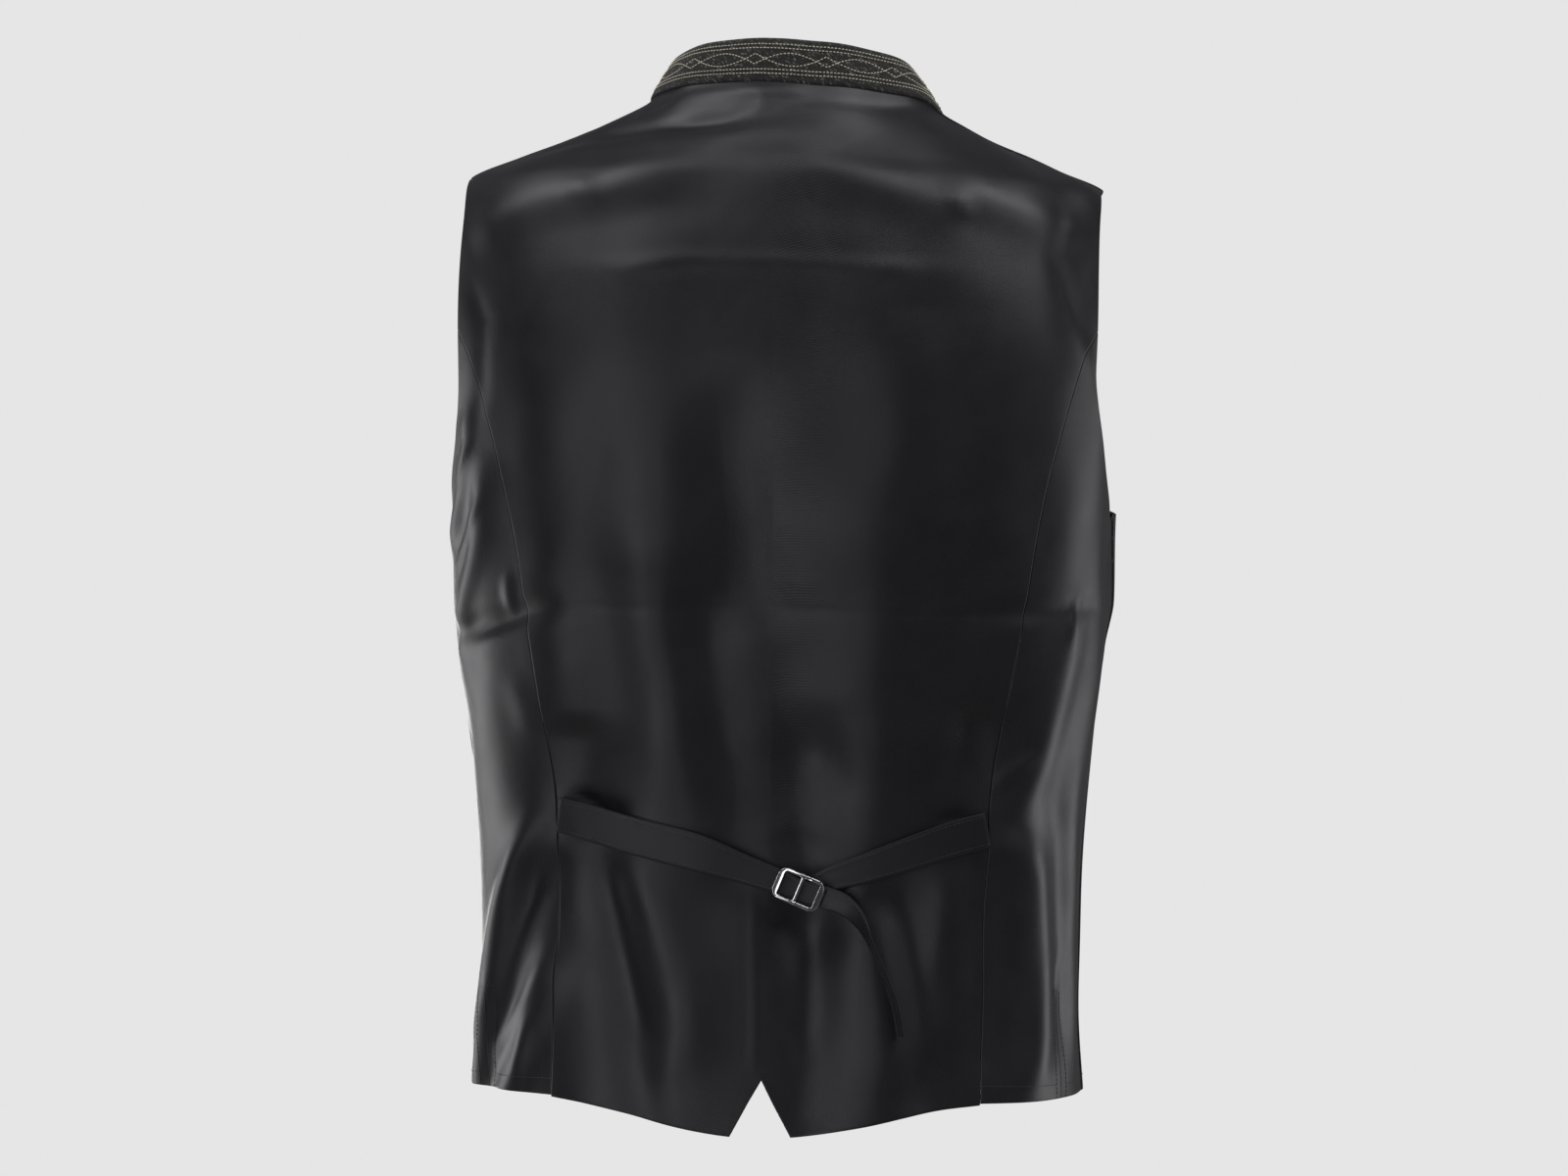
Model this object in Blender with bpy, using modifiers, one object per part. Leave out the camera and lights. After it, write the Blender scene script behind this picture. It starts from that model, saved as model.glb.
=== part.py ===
"""A trachten vest, filled out as when it is worn: satin back and sides, wool fronts and a stand collar.

The front of the vest faces -Y, its back faces +Y, and the wearer's left is +X. The origin lies midway
between the two neck points of the shoulder seams. Sizes are in millimetres until a mesh is made.

The cloth lies on one body form, read at (turn, height). Turn is 0 at the centre back, 1 at the left
side, -1 at the right side and 2 at the centre front. Every panel is a grid laid on that form.
"""

import functools
import math
from collections import namedtuple

import bmesh
import bpy
from mathutils import Matrix, Vector

MM = 0.001

# Cloth and seams
SATIN = 1.2
WOOL = 2.4
COLLAR_CLOTH = 2.8
SEAM_GAP = 0.4

# Heights, above the level of the neck points
HEM = -619
NOTCH_TOP = -605
NOTCH_HALF_WIDTH = 18.5
FRONT_HEM = -622
NECK_BACK = 9
NECK_SIDE = -2
NECK_FRONT = -78
SHOULDER_TIP = -51
ARMHOLE_SEAM = -145
ARMHOLE_BASE = -262

# Turns, as shares of a quarter of the body
SIDE_SEAM = 1.05
FRONT_LAP = 18
LAP_LIFT = WOOL + 0.5
LAP_EASE = 45
VENT_LENGTH = 58
VENT_WIDTH = 3.0

# Collar
COLLAR_HEIGHT = 27
COLLAR_LEAN_BACK = 0.28
COLLAR_LEAN_SIDE = 0.64
COLLAR_SEAT = 0.0
COLLAR_CORNER = 14
COLLAR_END = 1.2

# Back strap and buckle
STRAP_CLOTH = 1.3
BUCKLE_LENGTH = 30
BUCKLE_WIDTH = 19
BUCKLE_PLATE = 1.1
BUCKLE_TILT = math.radians(-23)
BUCKLE_AT = (-19, -488)

# The height from which the body's core is looked at when a grid is laid on the form
CORE_TOP = -130

# Buttons
BUTTON_COUNT = 7
BUTTON_FIRST = -98
BUTTON_LAST = -562

Section = namedtuple("Section", "height half_width back front side squareness")
SECTIONS = (
    Section(15, 82, 56, 58, 0, 2.0),
    Section(9, 86, 60, 62, 0, 2.0),
    Section(-2, 91, 66, 68, 0, 2.0),
    Section(-10, 104, 72, 73, 0, 2.0),
    Section(-24, 136, 81, 80, 0, 2.0),
    Section(-38, 170, 90, 86, 0, 2.05),
    Section(-51, 199, 99, 92, 0, 2.1),
    Section(-70, 209, 107, 98, 0, 2.2),
    Section(-98, 214, 116, 106, 0, 2.3),
    Section(-145, 216, 123, 117, 0, 2.4),
    Section(-200, 211, 124, 125, 0, 2.4),
    Section(-262, 206, 119, 128, 2, 2.4),
    Section(-330, 204.5, 112, 125, 3, 2.4),
    Section(-390, 197, 104, 119, 4, 2.35),
    Section(-444, 191, 99, 114, 5, 2.3),
    Section(-495, 188, 96, 112, 5, 2.3),
    Section(-555, 187, 99, 113, 5, 2.25),
    Section(-619, 189, 105, 114, 5, 2.2),
    Section(-650, 190, 107, 114, 5, 2.2),
)

# Half distances of the back's side edge from the centre back: its seam, then its armhole
Edge = namedtuple("Edge", "height reach")
BACK_SEAM = (
    Edge(-619, 132),
    Edge(-550, 132),
    Edge(-511, 131),
    Edge(-466, 132.5),
    Edge(-434, 134.5),
    Edge(-388, 141.5),
    Edge(-317, 153.5),
    Edge(-266, 162),
    Edge(-221, 172),
    Edge(-171, 187),
    Edge(-145, 198),
)
BACK_ARMHOLE = (Edge(-145, 198), Edge(-115, 198), Edge(-85, 198), Edge(-51, 199))
FRONT_ARMHOLE = (
    Edge(-262, 203),
    Edge(-248, 191),
    Edge(-227, 180),
    Edge(-197, 171),
    Edge(-157, 168),
    Edge(-117, 173),
    Edge(-82, 183),
    Edge(-51, 199),
)

# The back's hem, by its distance from the centre: lowest at the tips beside the notch
HemPoint = namedtuple("HemPoint", "reach height")
BACK_HEM = (
    HemPoint(0, -640),
    HemPoint(18, -639.5),
    HemPoint(38, -637),
    HemPoint(62, -632.5),
    HemPoint(86, -627),
    HemPoint(110, -622.5),
    HemPoint(132, -620),
)

# How the worn vest leans and turns: the neck is drawn over to the right and dips there
Lean = namedtuple("Lean", "height shift roll twist")
LEANS = (
    Lean(40, -12, 0.05, 0),
    Lean(-2, -11, 0.045, 0),
    Lean(-51, -4, 0.027, -0.03),
    Lean(-145, 0, 0.008, -0.055),
    Lean(-221, 0, 0, -0.06),
    Lean(-317, 0, 0, -0.055),
    Lean(-434, 0, 0, -0.03),
    Lean(-550, 0, 0, 0.0),
    Lean(-619, 0, 0.012, 0.025),
)

# Folds that run down the cloth: turns at the top, middle and bottom, heights, half width and outward rise
Fold = namedtuple("Fold", "name top middle bottom high low spread rise")
DOWN_FOLDS = (
    Fold("left shoulder blade", 0.30, 0.30, 0.26, -98, -288, 42, 3.5),
    Fold("right shoulder blade", -0.30, -0.29, -0.25, -98, -288, 42, 3.5),
    Fold("left drag to the buckle", 0.27, 0.19, 0.14, -258, -463, 19, 3.5),
    Fold("right drag to the buckle", -0.16, -0.20, -0.13, -238, -463, 19, 3.5),
    Fold("centre hollow, high", 0.06, 0.04, 0.00, -178, -318, 13, -4),
    Fold("centre hollow, low", 0.16, 0.11, 0.04, -298, -493, 13, -5),
    Fold("hollow over the buckle", -0.09, -0.09, -0.09, -388, -528, 15, -7),
    Fold("left seam hollow", 0.40, 0.40, 0.41, -388, -458, 14, -4),
    Fold("right seam hollow", -0.41, -0.41, -0.43, -378, -458, 13, -5),
    Fold("left skirt flute", 0.29, 0.17, 0.19, -463, -648, 16, 4),
    Fold("left skirt hollow", 0.35, 0.30, 0.22, -453, -648, 11, -3.5),
    Fold("centre skirt hollow", -0.057, -0.043, -0.005, -488, -648, 12, -6),
    Fold("right skirt flute", -0.115, -0.165, -0.19, -498, -648, 14, 4.5),
    Fold("right skirt hollow", -0.17, -0.25, -0.27, -488, -628, 11, -3.5),
    Fold("right outer flute", -0.38, -0.37, -0.36, -468, -588, 12, 3),
    Fold("left side fold", 0.52, 0.72, 0.86, -443, -638, 15, 6),
    Fold("left side hollow", 0.50, 0.64, 0.78, -468, -628, 12, -5),
    Fold("left side flute", 0.47, 0.58, 0.70, -533, -653, 11, 4),
    Fold("left drag, high", 0.66, 0.72, 0.86, -193, -278, 9, 3),
    Fold("left drag, low", 0.62, 0.68, 0.82, -228, -338, 10, 3.5),
    Fold("right side fold", -0.50, -0.60, -0.55, -438, -648, 18, 6),
    Fold("right side hollow", -0.70, -0.78, -0.80, -428, -588, 16, -4),
    Fold("right drag", -0.66, -0.63, -0.56, -318, -438, 12, 3),
    Fold("right armhole swell", -1.16, -1.18, -1.20, -230, -326, 34, 7),
    Fold("left chest fold", 1.45, 1.52, 1.62, -158, -408, 30, 3),
    Fold("right chest fold", -1.45, -1.52, -1.62, -158, -408, 30, 3),
    Fold("left front flute", 1.32, 1.36, 1.40, -408, -648, 24, 3),
    Fold("right front flute", -1.32, -1.36, -1.40, -408, -648, 24, 3),
)

# Folds that run across: heights at the start, middle and end, turns, half width and outward rise
CrossFold = namedtuple("CrossFold", "name start middle end turn_from turn_to spread rise")
CROSS_FOLDS = (
    CrossFold("left neck fold", -4, 0, 2, 0.55, -0.05, 7, 2.5),
    CrossFold("left shoulder hollow", -32, -22, -16, 0.75, 0.10, 7, -2.5),
    CrossFold("blade line", -110, -107, -112, 0.34, -0.32, 13, 2.5),
    CrossFold("left waist crease", -334, -326, -316, 0.90, 0.44, 8, -4),
    CrossFold("right waist crease", -320, -318, -314, -0.38, -0.80, 7, -1.5),
)

Tone = namedtuple("Tone", "colour metallic roughness")
TONES = {
    "satin": Tone((0.012, 0.012, 0.014, 1), 0, 0.38),
    "wool": Tone((0.030, 0.029, 0.028, 1), 0, 0.95),
    "collar_wool": Tone((0.035, 0.033, 0.032, 1), 0, 0.95),
    "steel": Tone((0.62, 0.62, 0.64, 1), 1, 0.22),
    "horn": Tone((0.030, 0.024, 0.020, 1), 0, 0.35),
}


# ---------------------------------------------------------------- reading the tables


def lerp(a, b, share):
    return a + (b - a) * share


def smooth(share):
    """0 to 1 with level ends."""
    t = min(1.0, max(0.0, share))
    return t * t * (3 - 2 * t)


def through(knots, values, at):
    """A smooth curve through the values at rising knots, held level past both ends."""
    if at <= knots[0]:
        return values[0]
    if at >= knots[-1]:
        return values[-1]
    i = max(k for k in range(len(knots) - 1) if knots[k] <= at)

    def slope(k):
        low, high = max(k - 1, 0), min(k + 1, len(knots) - 1)
        return (values[high] - values[low]) / (knots[high] - knots[low])

    span = knots[i + 1] - knots[i]
    t = (at - knots[i]) / span
    a, b = values[i], values[i + 1]
    return (
        a * (2 * t**3 - 3 * t**2 + 1)
        + b * (3 * t**2 - 2 * t**3)
        + span * slope(i) * (t**3 - 2 * t**2 + t)
        + span * slope(i + 1) * (t**3 - t**2)
    )


@functools.cache
def sorted_column(table, name):
    rows = sorted(table, key=lambda row: row.height)
    return tuple(row.height for row in rows), tuple(getattr(row, name) for row in rows)


@functools.lru_cache(200000)
def column(table, name, height):
    """One column of a table that is kept by height, read at any height."""
    return through(*sorted_column(table, name), height)


# ---------------------------------------------------------------- the body form


def half_width(height):
    return column(SECTIONS, "half_width", height)


def form(turn, height):
    """A point of the body form with no folds on it."""
    angle = turn * math.pi / 2
    across, along = math.sin(angle), math.cos(angle)
    power = column(SECTIONS, "squareness", height)
    reach = (abs(across) ** power + abs(along) ** power) ** (-1 / power)
    side = -column(SECTIONS, "side", height)
    if along >= 0:
        depth = column(SECTIONS, "back", height) - side
    else:
        depth = column(SECTIONS, "front", height) + side
    x = half_width(height) * reach * across
    return Vector((x, side + depth * reach * along, height))


def form_normal(turn, height):
    """The outward direction of the form."""
    step_turn, step_height = 0.004, 0.8
    around = form(turn + step_turn, height) - form(turn - step_turn, height)
    upward = form(turn, height + step_height) - form(turn, height - step_height)
    return upward.cross(around).normalized()


def quarter_girth(height):
    """About how much cloth one unit of turn takes."""
    return 0.62 * (half_width(height) + column(SECTIONS, "back", height))


def bell(distance):
    return math.exp(-distance * distance)


def fold_rise(turn, height):
    """How far the folds carry the cloth out from the form."""
    rise = 0.0
    for fold in DOWN_FOLDS:
        fade = (fold.high - fold.low) * 0.3
        here = smooth((fold.high + fade / 2 - height) / fade) * smooth((height - fold.low + fade / 2) / fade)
        if here > 0:
            middle = (fold.high + fold.low) / 2
            heights, turns = (fold.low, middle, fold.high), (fold.bottom, fold.middle, fold.top)
            off = (turn - through(heights, turns, height)) * quarter_girth(height) / fold.spread
            rise += fold.rise * here * bell(off)
    for fold in CROSS_FOLDS:
        low, high = min(fold.turn_from, fold.turn_to), max(fold.turn_from, fold.turn_to)
        fade = (high - low) * 0.3
        here = smooth((high + fade / 2 - turn) / fade) * smooth((turn - low + fade / 2) / fade)
        if here > 0:
            share = (turn - fold.turn_from) / (fold.turn_to - fold.turn_from)
            line = through((0, 0.5, 1), (fold.start, fold.middle, fold.end), share)
            rise += fold.rise * here * bell((height - line) / fold.spread)
    return rise


def leaned(point):
    """A point carried along with the way the whole vest leans."""
    shift, roll, twist = (column(LEANS, name, point.z) for name in ("shift", "roll", "twist"))
    return Vector((point.x + shift + point.y * twist, point.y, point.z + point.x * roll))


def cloth(turn, height, out=0.0):
    """A point of the folded cloth's inner face, or of a layer that lies further out."""
    point = form(turn, height)
    return leaned(point + form_normal(turn, height) * (fold_rise(turn, height) + out))


def turn_at(reach, height):
    """The turn at which the form reaches that far from the middle, on the back or the front alike."""
    share = min(1.0, reach / half_width(height))
    power = column(SECTIONS, "squareness", height)
    depth = max(0.0, 1 - share**power) ** (1 / power)
    return math.atan2(share, depth) * 2 / math.pi


def on_form(point):
    """(turn, height) where the line from the body's core through a point meets the form."""
    core = Vector((0, 0, min(point.z, CORE_TOP)))
    ray = point - core

    def fullness(at):
        power = column(SECTIONS, "squareness", at.z)
        side = -column(SECTIONS, "side", at.z)
        depth = column(SECTIONS, "back", at.z) - side
        if at.y < side:
            depth = column(SECTIONS, "front", at.z) + side
        across, along = at.x / half_width(at.z), (at.y - side) / depth
        return (abs(across) ** power + abs(along) ** power) ** (1 / power), across, along

    low, high = 0.3, 3.0
    if ray.z < 1e-9:
        _, across, along = fullness(point)
    else:
        for _ in range(26):
            middle = (low + high) / 2
            full, across, along = fullness(core + ray * middle)
            if full > 1 or (core + ray * middle).z > SECTIONS[0].height:
                high = middle
            else:
                low = middle
    turn = math.atan2(across, along) * 2 / math.pi
    return turn, (core + ray * (low + high) / 2).z if ray.z >= 1e-9 else point.z


# ---------------------------------------------------------------- panels as grids

# A panel's four edges are drawn as curves of (turn, height). Rows and columns divide the edges by
# their length, and the grid inside follows from the edges and is laid back onto the form.


def by_length(curve, shares):
    """Points of a curve of (turn, height), at those shares of its length."""
    fine = [curve(k / 120) for k in range(121)]
    lengths = [0.0]
    for a, b in zip(fine, fine[1:]):
        lengths.append(lengths[-1] + (form(*b) - form(*a)).length)
    found = []
    for share in shares:
        goal = share * lengths[-1]
        k = max(i for i in range(120) if lengths[i] <= goal + 1e-9)
        part = (goal - lengths[k]) / max(1e-9, lengths[k + 1] - lengths[k])
        found.append(tuple(lerp(a, b, part) for a, b in zip(fine[k], fine[k + 1])))
    return found


def patch(lower, upper, inner, outer):
    """(turn, height) of every grid point, by (column, row), from the points of four edges."""
    columns, rows = len(lower) - 1, len(inner) - 1
    bottom, top = [form(*at) for at in lower], [form(*at) for at in upper]
    first, last = [form(*at) for at in inner], [form(*at) for at in outer]
    grid = {}
    for i in range(columns + 1):
        for j in range(rows + 1):
            edge = {(0, j): inner[j], (columns, j): outer[j], (i, 0): lower[i], (i, rows): upper[i]}
            if (i, j) in edge:
                grid[i, j] = edge[i, j]
                continue
            u, v = i / columns, j / rows
            corners = (bottom[0] * (1 - u) + bottom[-1] * u) * (1 - v) + (top[0] * (1 - u) + top[-1] * u) * v
            flat = first[j] * (1 - u) + last[j] * u + bottom[i] * (1 - v) + top[i] * v - corners
            turn, height = on_form(flat)
            grid[i, j] = (turn + 4 if turn < -1.5 else turn, height)
    return grid


def gathered(v):
    """Rows drawn together towards the top, where the cloth turns over the shoulder."""
    return 1 - (0.45 * (1 - v) + 0.55 * (1 - v) ** 2)


def seam_share(height):
    """Half the gap of a seam, as turn."""
    return SEAM_GAP / 2 / quarter_girth(height)


def shoulder_line(share, side):
    """The shoulder seam, from the neck point to the tip: side is 1 for the fronts, -1 for the back."""
    height = lerp(NECK_SIDE, SHOULDER_TIP, share)
    return 1.0 + side * seam_share(height) * 1.6, height


def back_edge(share):
    """The back's side edge, from the hem up its seam and armhole to the shoulder tip."""
    height = lerp(HEM, SHOULDER_TIP, share)
    table = BACK_SEAM if height < ARMHOLE_SEAM else BACK_ARMHOLE
    turn = turn_at(column(table, "reach", height), height)
    return turn - seam_share(height) * (1.6 if height > SHOULDER_TIP - 2 else 1), height


def back_hem(reach):
    """The back's hem: it dips from the seam to the tip beside the centre, and rises in the notch."""
    height = through([p.reach for p in BACK_HEM], [p.height for p in BACK_HEM], reach)
    notch = (NOTCH_TOP - BACK_HEM[0].height) * max(0.0, 1 - reach / NOTCH_HALF_WIDTH)
    return turn_at(reach, HEM) - seam_share(HEM) * (reach > BACK_HEM[-1].reach - 1), height + notch


def back_neck(share):
    return share, lerp(NECK_BACK, NECK_SIDE, share**3)


def back_grid():
    """(turn, height) of the left half of the back, from the centre to its side edge."""
    shares = [gathered(j / BACK_ROWS) for j in range(BACK_ROWS + 1)]
    neck = [back_neck(k / BACK_NECK_COLUMNS) for k in range(BACK_NECK_COLUMNS)]
    rest = len(BACK_COLUMNS) - 1 - BACK_NECK_COLUMNS
    shoulder = by_length(lambda t: shoulder_line(t, -1), [k / rest for k in range(rest + 1)])
    lower = [back_hem(reach) for reach in BACK_COLUMNS]
    centre = by_length(lambda t: (0.0, lerp(back_hem(0)[1], NECK_BACK, t)), shares)
    return patch(lower, neck + shoulder, centre, by_length(back_edge, shares))


def armhole_under(share):
    """The side panel's armhole edge, from the back seam to the side seam."""
    first = turn_at(BACK_ARMHOLE[0].reach, ARMHOLE_SEAM) + seam_share(ARMHOLE_SEAM)
    angle = share * math.pi / 2
    turn = lerp(first, SIDE_SEAM - seam_share(ARMHOLE_BASE), 1 - math.cos(angle) ** 1.15)
    return turn, lerp(ARMHOLE_SEAM, ARMHOLE_BASE, math.sin(angle) ** 1.1)


def side_hem(share):
    first = turn_at(BACK_SEAM[0].reach, HEM) + seam_share(HEM)
    return lerp(first, SIDE_SEAM - seam_share(HEM), share), HEM


def side_inner(share):
    height = lerp(HEM, ARMHOLE_SEAM, share)
    return turn_at(column(BACK_SEAM, "reach", height), height) + seam_share(height), height


def side_outer(share):
    height = lerp(HEM, ARMHOLE_BASE, share)
    return SIDE_SEAM - seam_share(height), height


def side_grid():
    """(turn, height) of the left side panel, from the back seam to the side seam."""
    across = [i / SIDE_COLUMNS for i in range(SIDE_COLUMNS + 1)]
    up = [j / SIDE_ROWS for j in range(SIDE_ROWS + 1)]
    curves = ((side_hem, across), (armhole_under, across), (side_inner, up), (side_outer, up))
    return patch(*(by_length(curve, shares) for curve, shares in curves))


def front_edge(share):
    """The front's side edge, up its side seam and round its armhole to the shoulder tip."""
    height = lerp(HEM, SHOULDER_TIP, share)
    base = SIDE_SEAM + seam_share(height)
    if height < ARMHOLE_BASE:
        return base, height
    turn = 2 - turn_at(column(FRONT_ARMHOLE, "reach", height), height)
    near_base = smooth(1 - (height - ARMHOLE_BASE) / 12)
    near_tip = smooth((height - SHOULDER_TIP) / 4 + 1) * seam_share(height) * 1.6
    return lerp(turn, base, near_base) + near_tip, height


def front_angle(i):
    """The angle of a front's neck column: the first is the lap edge, the last the neck point."""
    lap = math.asin(FRONT_LAP / half_width(NECK_SIDE))
    return lerp(-lap, math.pi / 2, i / FRONT_NECK_COLUMNS)


def front_neck(angle):
    """The neck edge of a front, from 0 at the centre front to a quarter circle at the neck point."""
    if angle < 0:
        return 2 + turn_at(half_width(NECK_SIDE) * math.sin(-angle), NECK_FRONT), NECK_FRONT
    height = lerp(NECK_FRONT, NECK_SIDE, math.sin(angle) ** 2)
    return 2 - turn_at(half_width(NECK_SIDE) * math.sin(angle), height), height


def front_lap(share):
    height = lerp(FRONT_HEM, NECK_FRONT, share)
    return 2 + turn_at(FRONT_LAP, height), height


def front_hem(share):
    last = SIDE_SEAM + seam_share(HEM)
    return lerp(2 + turn_at(FRONT_LAP, FRONT_HEM), last, share), lerp(FRONT_HEM, HEM, smooth(share))


def front_grid():
    """(turn, height) of the left front, from its lap edge to its side edge."""
    shares = [gathered(j / FRONT_ROWS) for j in range(FRONT_ROWS + 1)]
    neck = [front_neck(front_angle(k)) for k in range(FRONT_NECK_COLUMNS)]
    rest = FRONT_SHOULDER_COLUMNS
    shoulder = by_length(lambda t: shoulder_line(t, 1), [k / rest for k in range(rest + 1)])
    columns = FRONT_NECK_COLUMNS + rest
    lower = by_length(front_hem, [i / columns for i in range(columns + 1)])
    return patch(lower, neck + shoulder, by_length(front_lap, shares), by_length(front_edge, shares))


# ---------------------------------------------------------------- making objects


def material_for(tone_name):
    made = bpy.data.materials.get(tone_name)
    if made:
        return made
    tone = TONES[tone_name]
    made = bpy.data.materials.new(tone_name)
    made.use_nodes = True
    shader = made.node_tree.nodes["Principled BSDF"]
    shader.inputs["Base Color"].default_value = tone.colour
    shader.inputs["Metallic"].default_value = tone.metallic
    shader.inputs["Roughness"].default_value = tone.roughness
    return made


def placed(name, mesh, tone_name, collection):
    """A new object in the vest's collection."""
    thing = bpy.data.objects.new(name, mesh)
    mesh.materials.append(material_for(tone_name))
    mesh.shade_smooth()
    collection.objects.link(thing)
    return thing


def faced_outward(mesh_edit):
    """Turns the faces of an open sheet so that they look away from the body's middle line."""
    mesh_edit.normal_update()
    outward = 0.0
    for face in mesh_edit.faces:
        centre = face.calc_center_median()
        outward += face.normal.x * centre.x + face.normal.y * centre.y
    if outward < 0:
        bmesh.ops.reverse_faces(mesh_edit, faces=mesh_edit.faces)


def sheet(name, columns, rows, place, thickness, tone_name, collection, slit=None):
    """A cloth wall: a grid whose points are laid by place(i, j), thickened outward.

    slit is (column, rows): the grid is parted along that column, from the hem up."""
    work = bmesh.new()
    bmesh.ops.create_grid(work, x_segments=columns, y_segments=rows, size=1.0)
    cell = {}
    for vert in work.verts:
        cell[vert] = (round((vert.co.x + 1) / 2 * columns), round((vert.co.y + 1) / 2 * rows))
    for vert, (i, j) in cell.items():
        vert.co = place(i, j) * MM
    if slit:
        open_slit(work, cell, *slit)
    faced_outward(work)
    mesh = bpy.data.meshes.new(name)
    work.to_mesh(mesh)
    work.free()
    thing = placed(name, mesh, tone_name, collection)
    wall = thing.modifiers.new("cloth", "SOLIDIFY")
    wall.thickness = thickness * MM
    wall.offset = 1.0
    wall.use_even_offset = False
    return thing


def open_slit(work, cell, slit_column, slit_rows):
    """Parts the grid along the lower edges of one column and draws the two sides apart."""
    edges = [
        edge
        for edge in work.edges
        if all(cell[v][0] == slit_column and cell[v][1] <= slit_rows for v in edge.verts)
    ]
    line = {cell[v][1]: v.co.copy() for edge in edges for v in edge.verts}
    middles = {face: sum(cell[v][0] for v in face.verts) / 4 for face in work.faces}
    along = {j: None for j in line}
    for vert, (i, j) in cell.items():
        if i == slit_column + 1 and j in along:
            along[j] = (vert.co - line[j]).normalized()
    bmesh.ops.split_edges(work, edges=edges)
    for face, middle in middles.items():
        for vert in face.verts:
            for j, point in line.items():
                if j < slit_rows and (vert.co - point).length < 1e-9:
                    opening = VENT_WIDTH * (1 - j / slit_rows) / 2 + 0.25
                    side = 1 if middle > slit_column else -1
                    vert.co = point + along[j] * side * opening * MM


# ---------------------------------------------------------------- the panels

BACK_COLUMNS = (0, 9.25, 18.5, 28, 38, 48, 58, 71, 84, 96, 108, 120, 132)
BACK_NECK_COLUMNS = 6
BACK_ROWS = 34
SIDE_COLUMNS = 9
SIDE_ROWS = 26
VENT_COLUMN = 5
FRONT_NECK_COLUMNS = 8
FRONT_SHOULDER_COLUMNS = 6
FRONT_ROWS = 30


def add_back(collection):
    half, grid = len(BACK_COLUMNS) - 1, back_grid()

    def place(i, j):
        turn, height = grid[abs(i - half), j]
        return cloth(math.copysign(turn, i - half), height)

    return sheet("back", 2 * half, BACK_ROWS, place, SATIN, "satin", collection)


def add_side(name, hand, grid, collection):
    def place(i, j):
        turn, height = grid[i, j]
        return cloth(hand * turn, height)

    slit = (VENT_COLUMN, round(SIDE_ROWS * VENT_LENGTH / (ARMHOLE_SEAM - HEM) * 1.15))
    return sheet(name, SIDE_COLUMNS, SIDE_ROWS, place, SATIN, "satin", collection, slit)


def lap_lift(turn, height):
    """How far the upper front is lifted where it lies on the lower one."""
    reach = (2 - turn) * half_width(height)
    return LAP_LIFT * (1 - smooth((reach - FRONT_LAP - 3) / LAP_EASE))


def add_front(name, hand, grid, laps_over, collection):
    def place(i, j):
        turn, height = grid[i, j]
        return cloth(hand * turn, height, lap_lift(turn, height) if laps_over else 0.0)

    columns = FRONT_NECK_COLUMNS + FRONT_SHOULDER_COLUMNS
    return sheet(name, columns, FRONT_ROWS, place, WOOL, "wool", collection)


# ---------------------------------------------------------------- the collar

COLLAR_ROWS = 4
CORNER_SHARES = (0.0, 0.06, 0.17, 0.34, 0.58, 0.8)


def neck_line(turn):
    """(turn, height) of the neck edge, with turn from 0 at the centre back to 2 at the centre front."""
    return back_neck(turn) if turn <= 1 else front_neck((2 - turn) * math.pi / 2)


def neck_edge(turn):
    """The panels' inner face at the neck edge, at that turn round the neck."""
    flat, height = neck_line(abs(turn))
    out = lap_lift(flat, height) if turn > 1 else 0.0
    return cloth(math.copysign(flat, turn), height, out)


def neck_seat(turn):
    """The collar's foot at that turn: its whole lower edge clears the panels' edge."""
    step = 0.01
    along = neck_edge(min(2.0, turn + step)) - neck_edge(max(-2.0, turn - step))
    edge = neck_edge(turn)
    flat, height = neck_line(abs(turn))
    outward = form_normal(math.copysign(flat, turn), height)
    upward = outward.cross(along).normalized()
    if upward.z < 0:
        upward = -upward
    face = Vector((edge.x, edge.y, 0)).normalized()
    return edge + upward * (COLLAR_SEAT + COLLAR_CLOTH * max(0.0, -face.dot(upward)))


def collar_height(reach_from_end):
    """The collar's height near its front ends, whose upper corners are round."""
    if reach_from_end >= COLLAR_CORNER:
        return COLLAR_HEIGHT
    short = COLLAR_CORNER - max(0.0, reach_from_end)
    return COLLAR_HEIGHT - COLLAR_CORNER + math.sqrt(max(0.0, COLLAR_CORNER**2 - short**2))


def collar_rise(turn):
    """The direction in which the collar stands: up, and in towards the neck, most at the sides."""
    seat = neck_seat(turn)
    middle = Vector((column(LEANS, "shift", NECK_SIDE), 0, seat.z))
    lean = lerp(COLLAR_LEAN_BACK, COLLAR_LEAN_SIDE, math.sin(abs(turn) * math.pi / 2) ** 2)
    return (Vector((0, 0, 1)) + (middle - seat).normalized() * lean).normalized()


def collar_feet():
    """(foot, rise) at each collar column, from the right end round the back to the left end.

    The columns stand on the panels' own columns, so that foot and neck edge bend alike. Those of
    the round corners divide the first stretch from each end."""
    back = [k / BACK_NECK_COLUMNS for k in range(BACK_NECK_COLUMNS)]
    front = [front_angle(k) for k in range(FRONT_NECK_COLUMNS, 1, -1)]
    half = back + [2 - angle * 2 / math.pi for angle in front]
    turns = [-t for t in half[:0:-1]] + half
    feet = [(neck_seat(t), collar_rise(t)) for t in turns]
    for hand in (-1, 1):
        inner = feet[-1] if hand > 0 else feet[0]
        last = hand * (2 - COLLAR_END / 62)
        outer = (neck_seat(last), collar_rise(last))
        corner = [
            (outer[0].lerp(inner[0], share), outer[1].lerp(inner[1], share)) for share in CORNER_SHARES
        ]
        feet = feet + corner[::-1] if hand > 0 else corner + feet
    return feet


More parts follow.
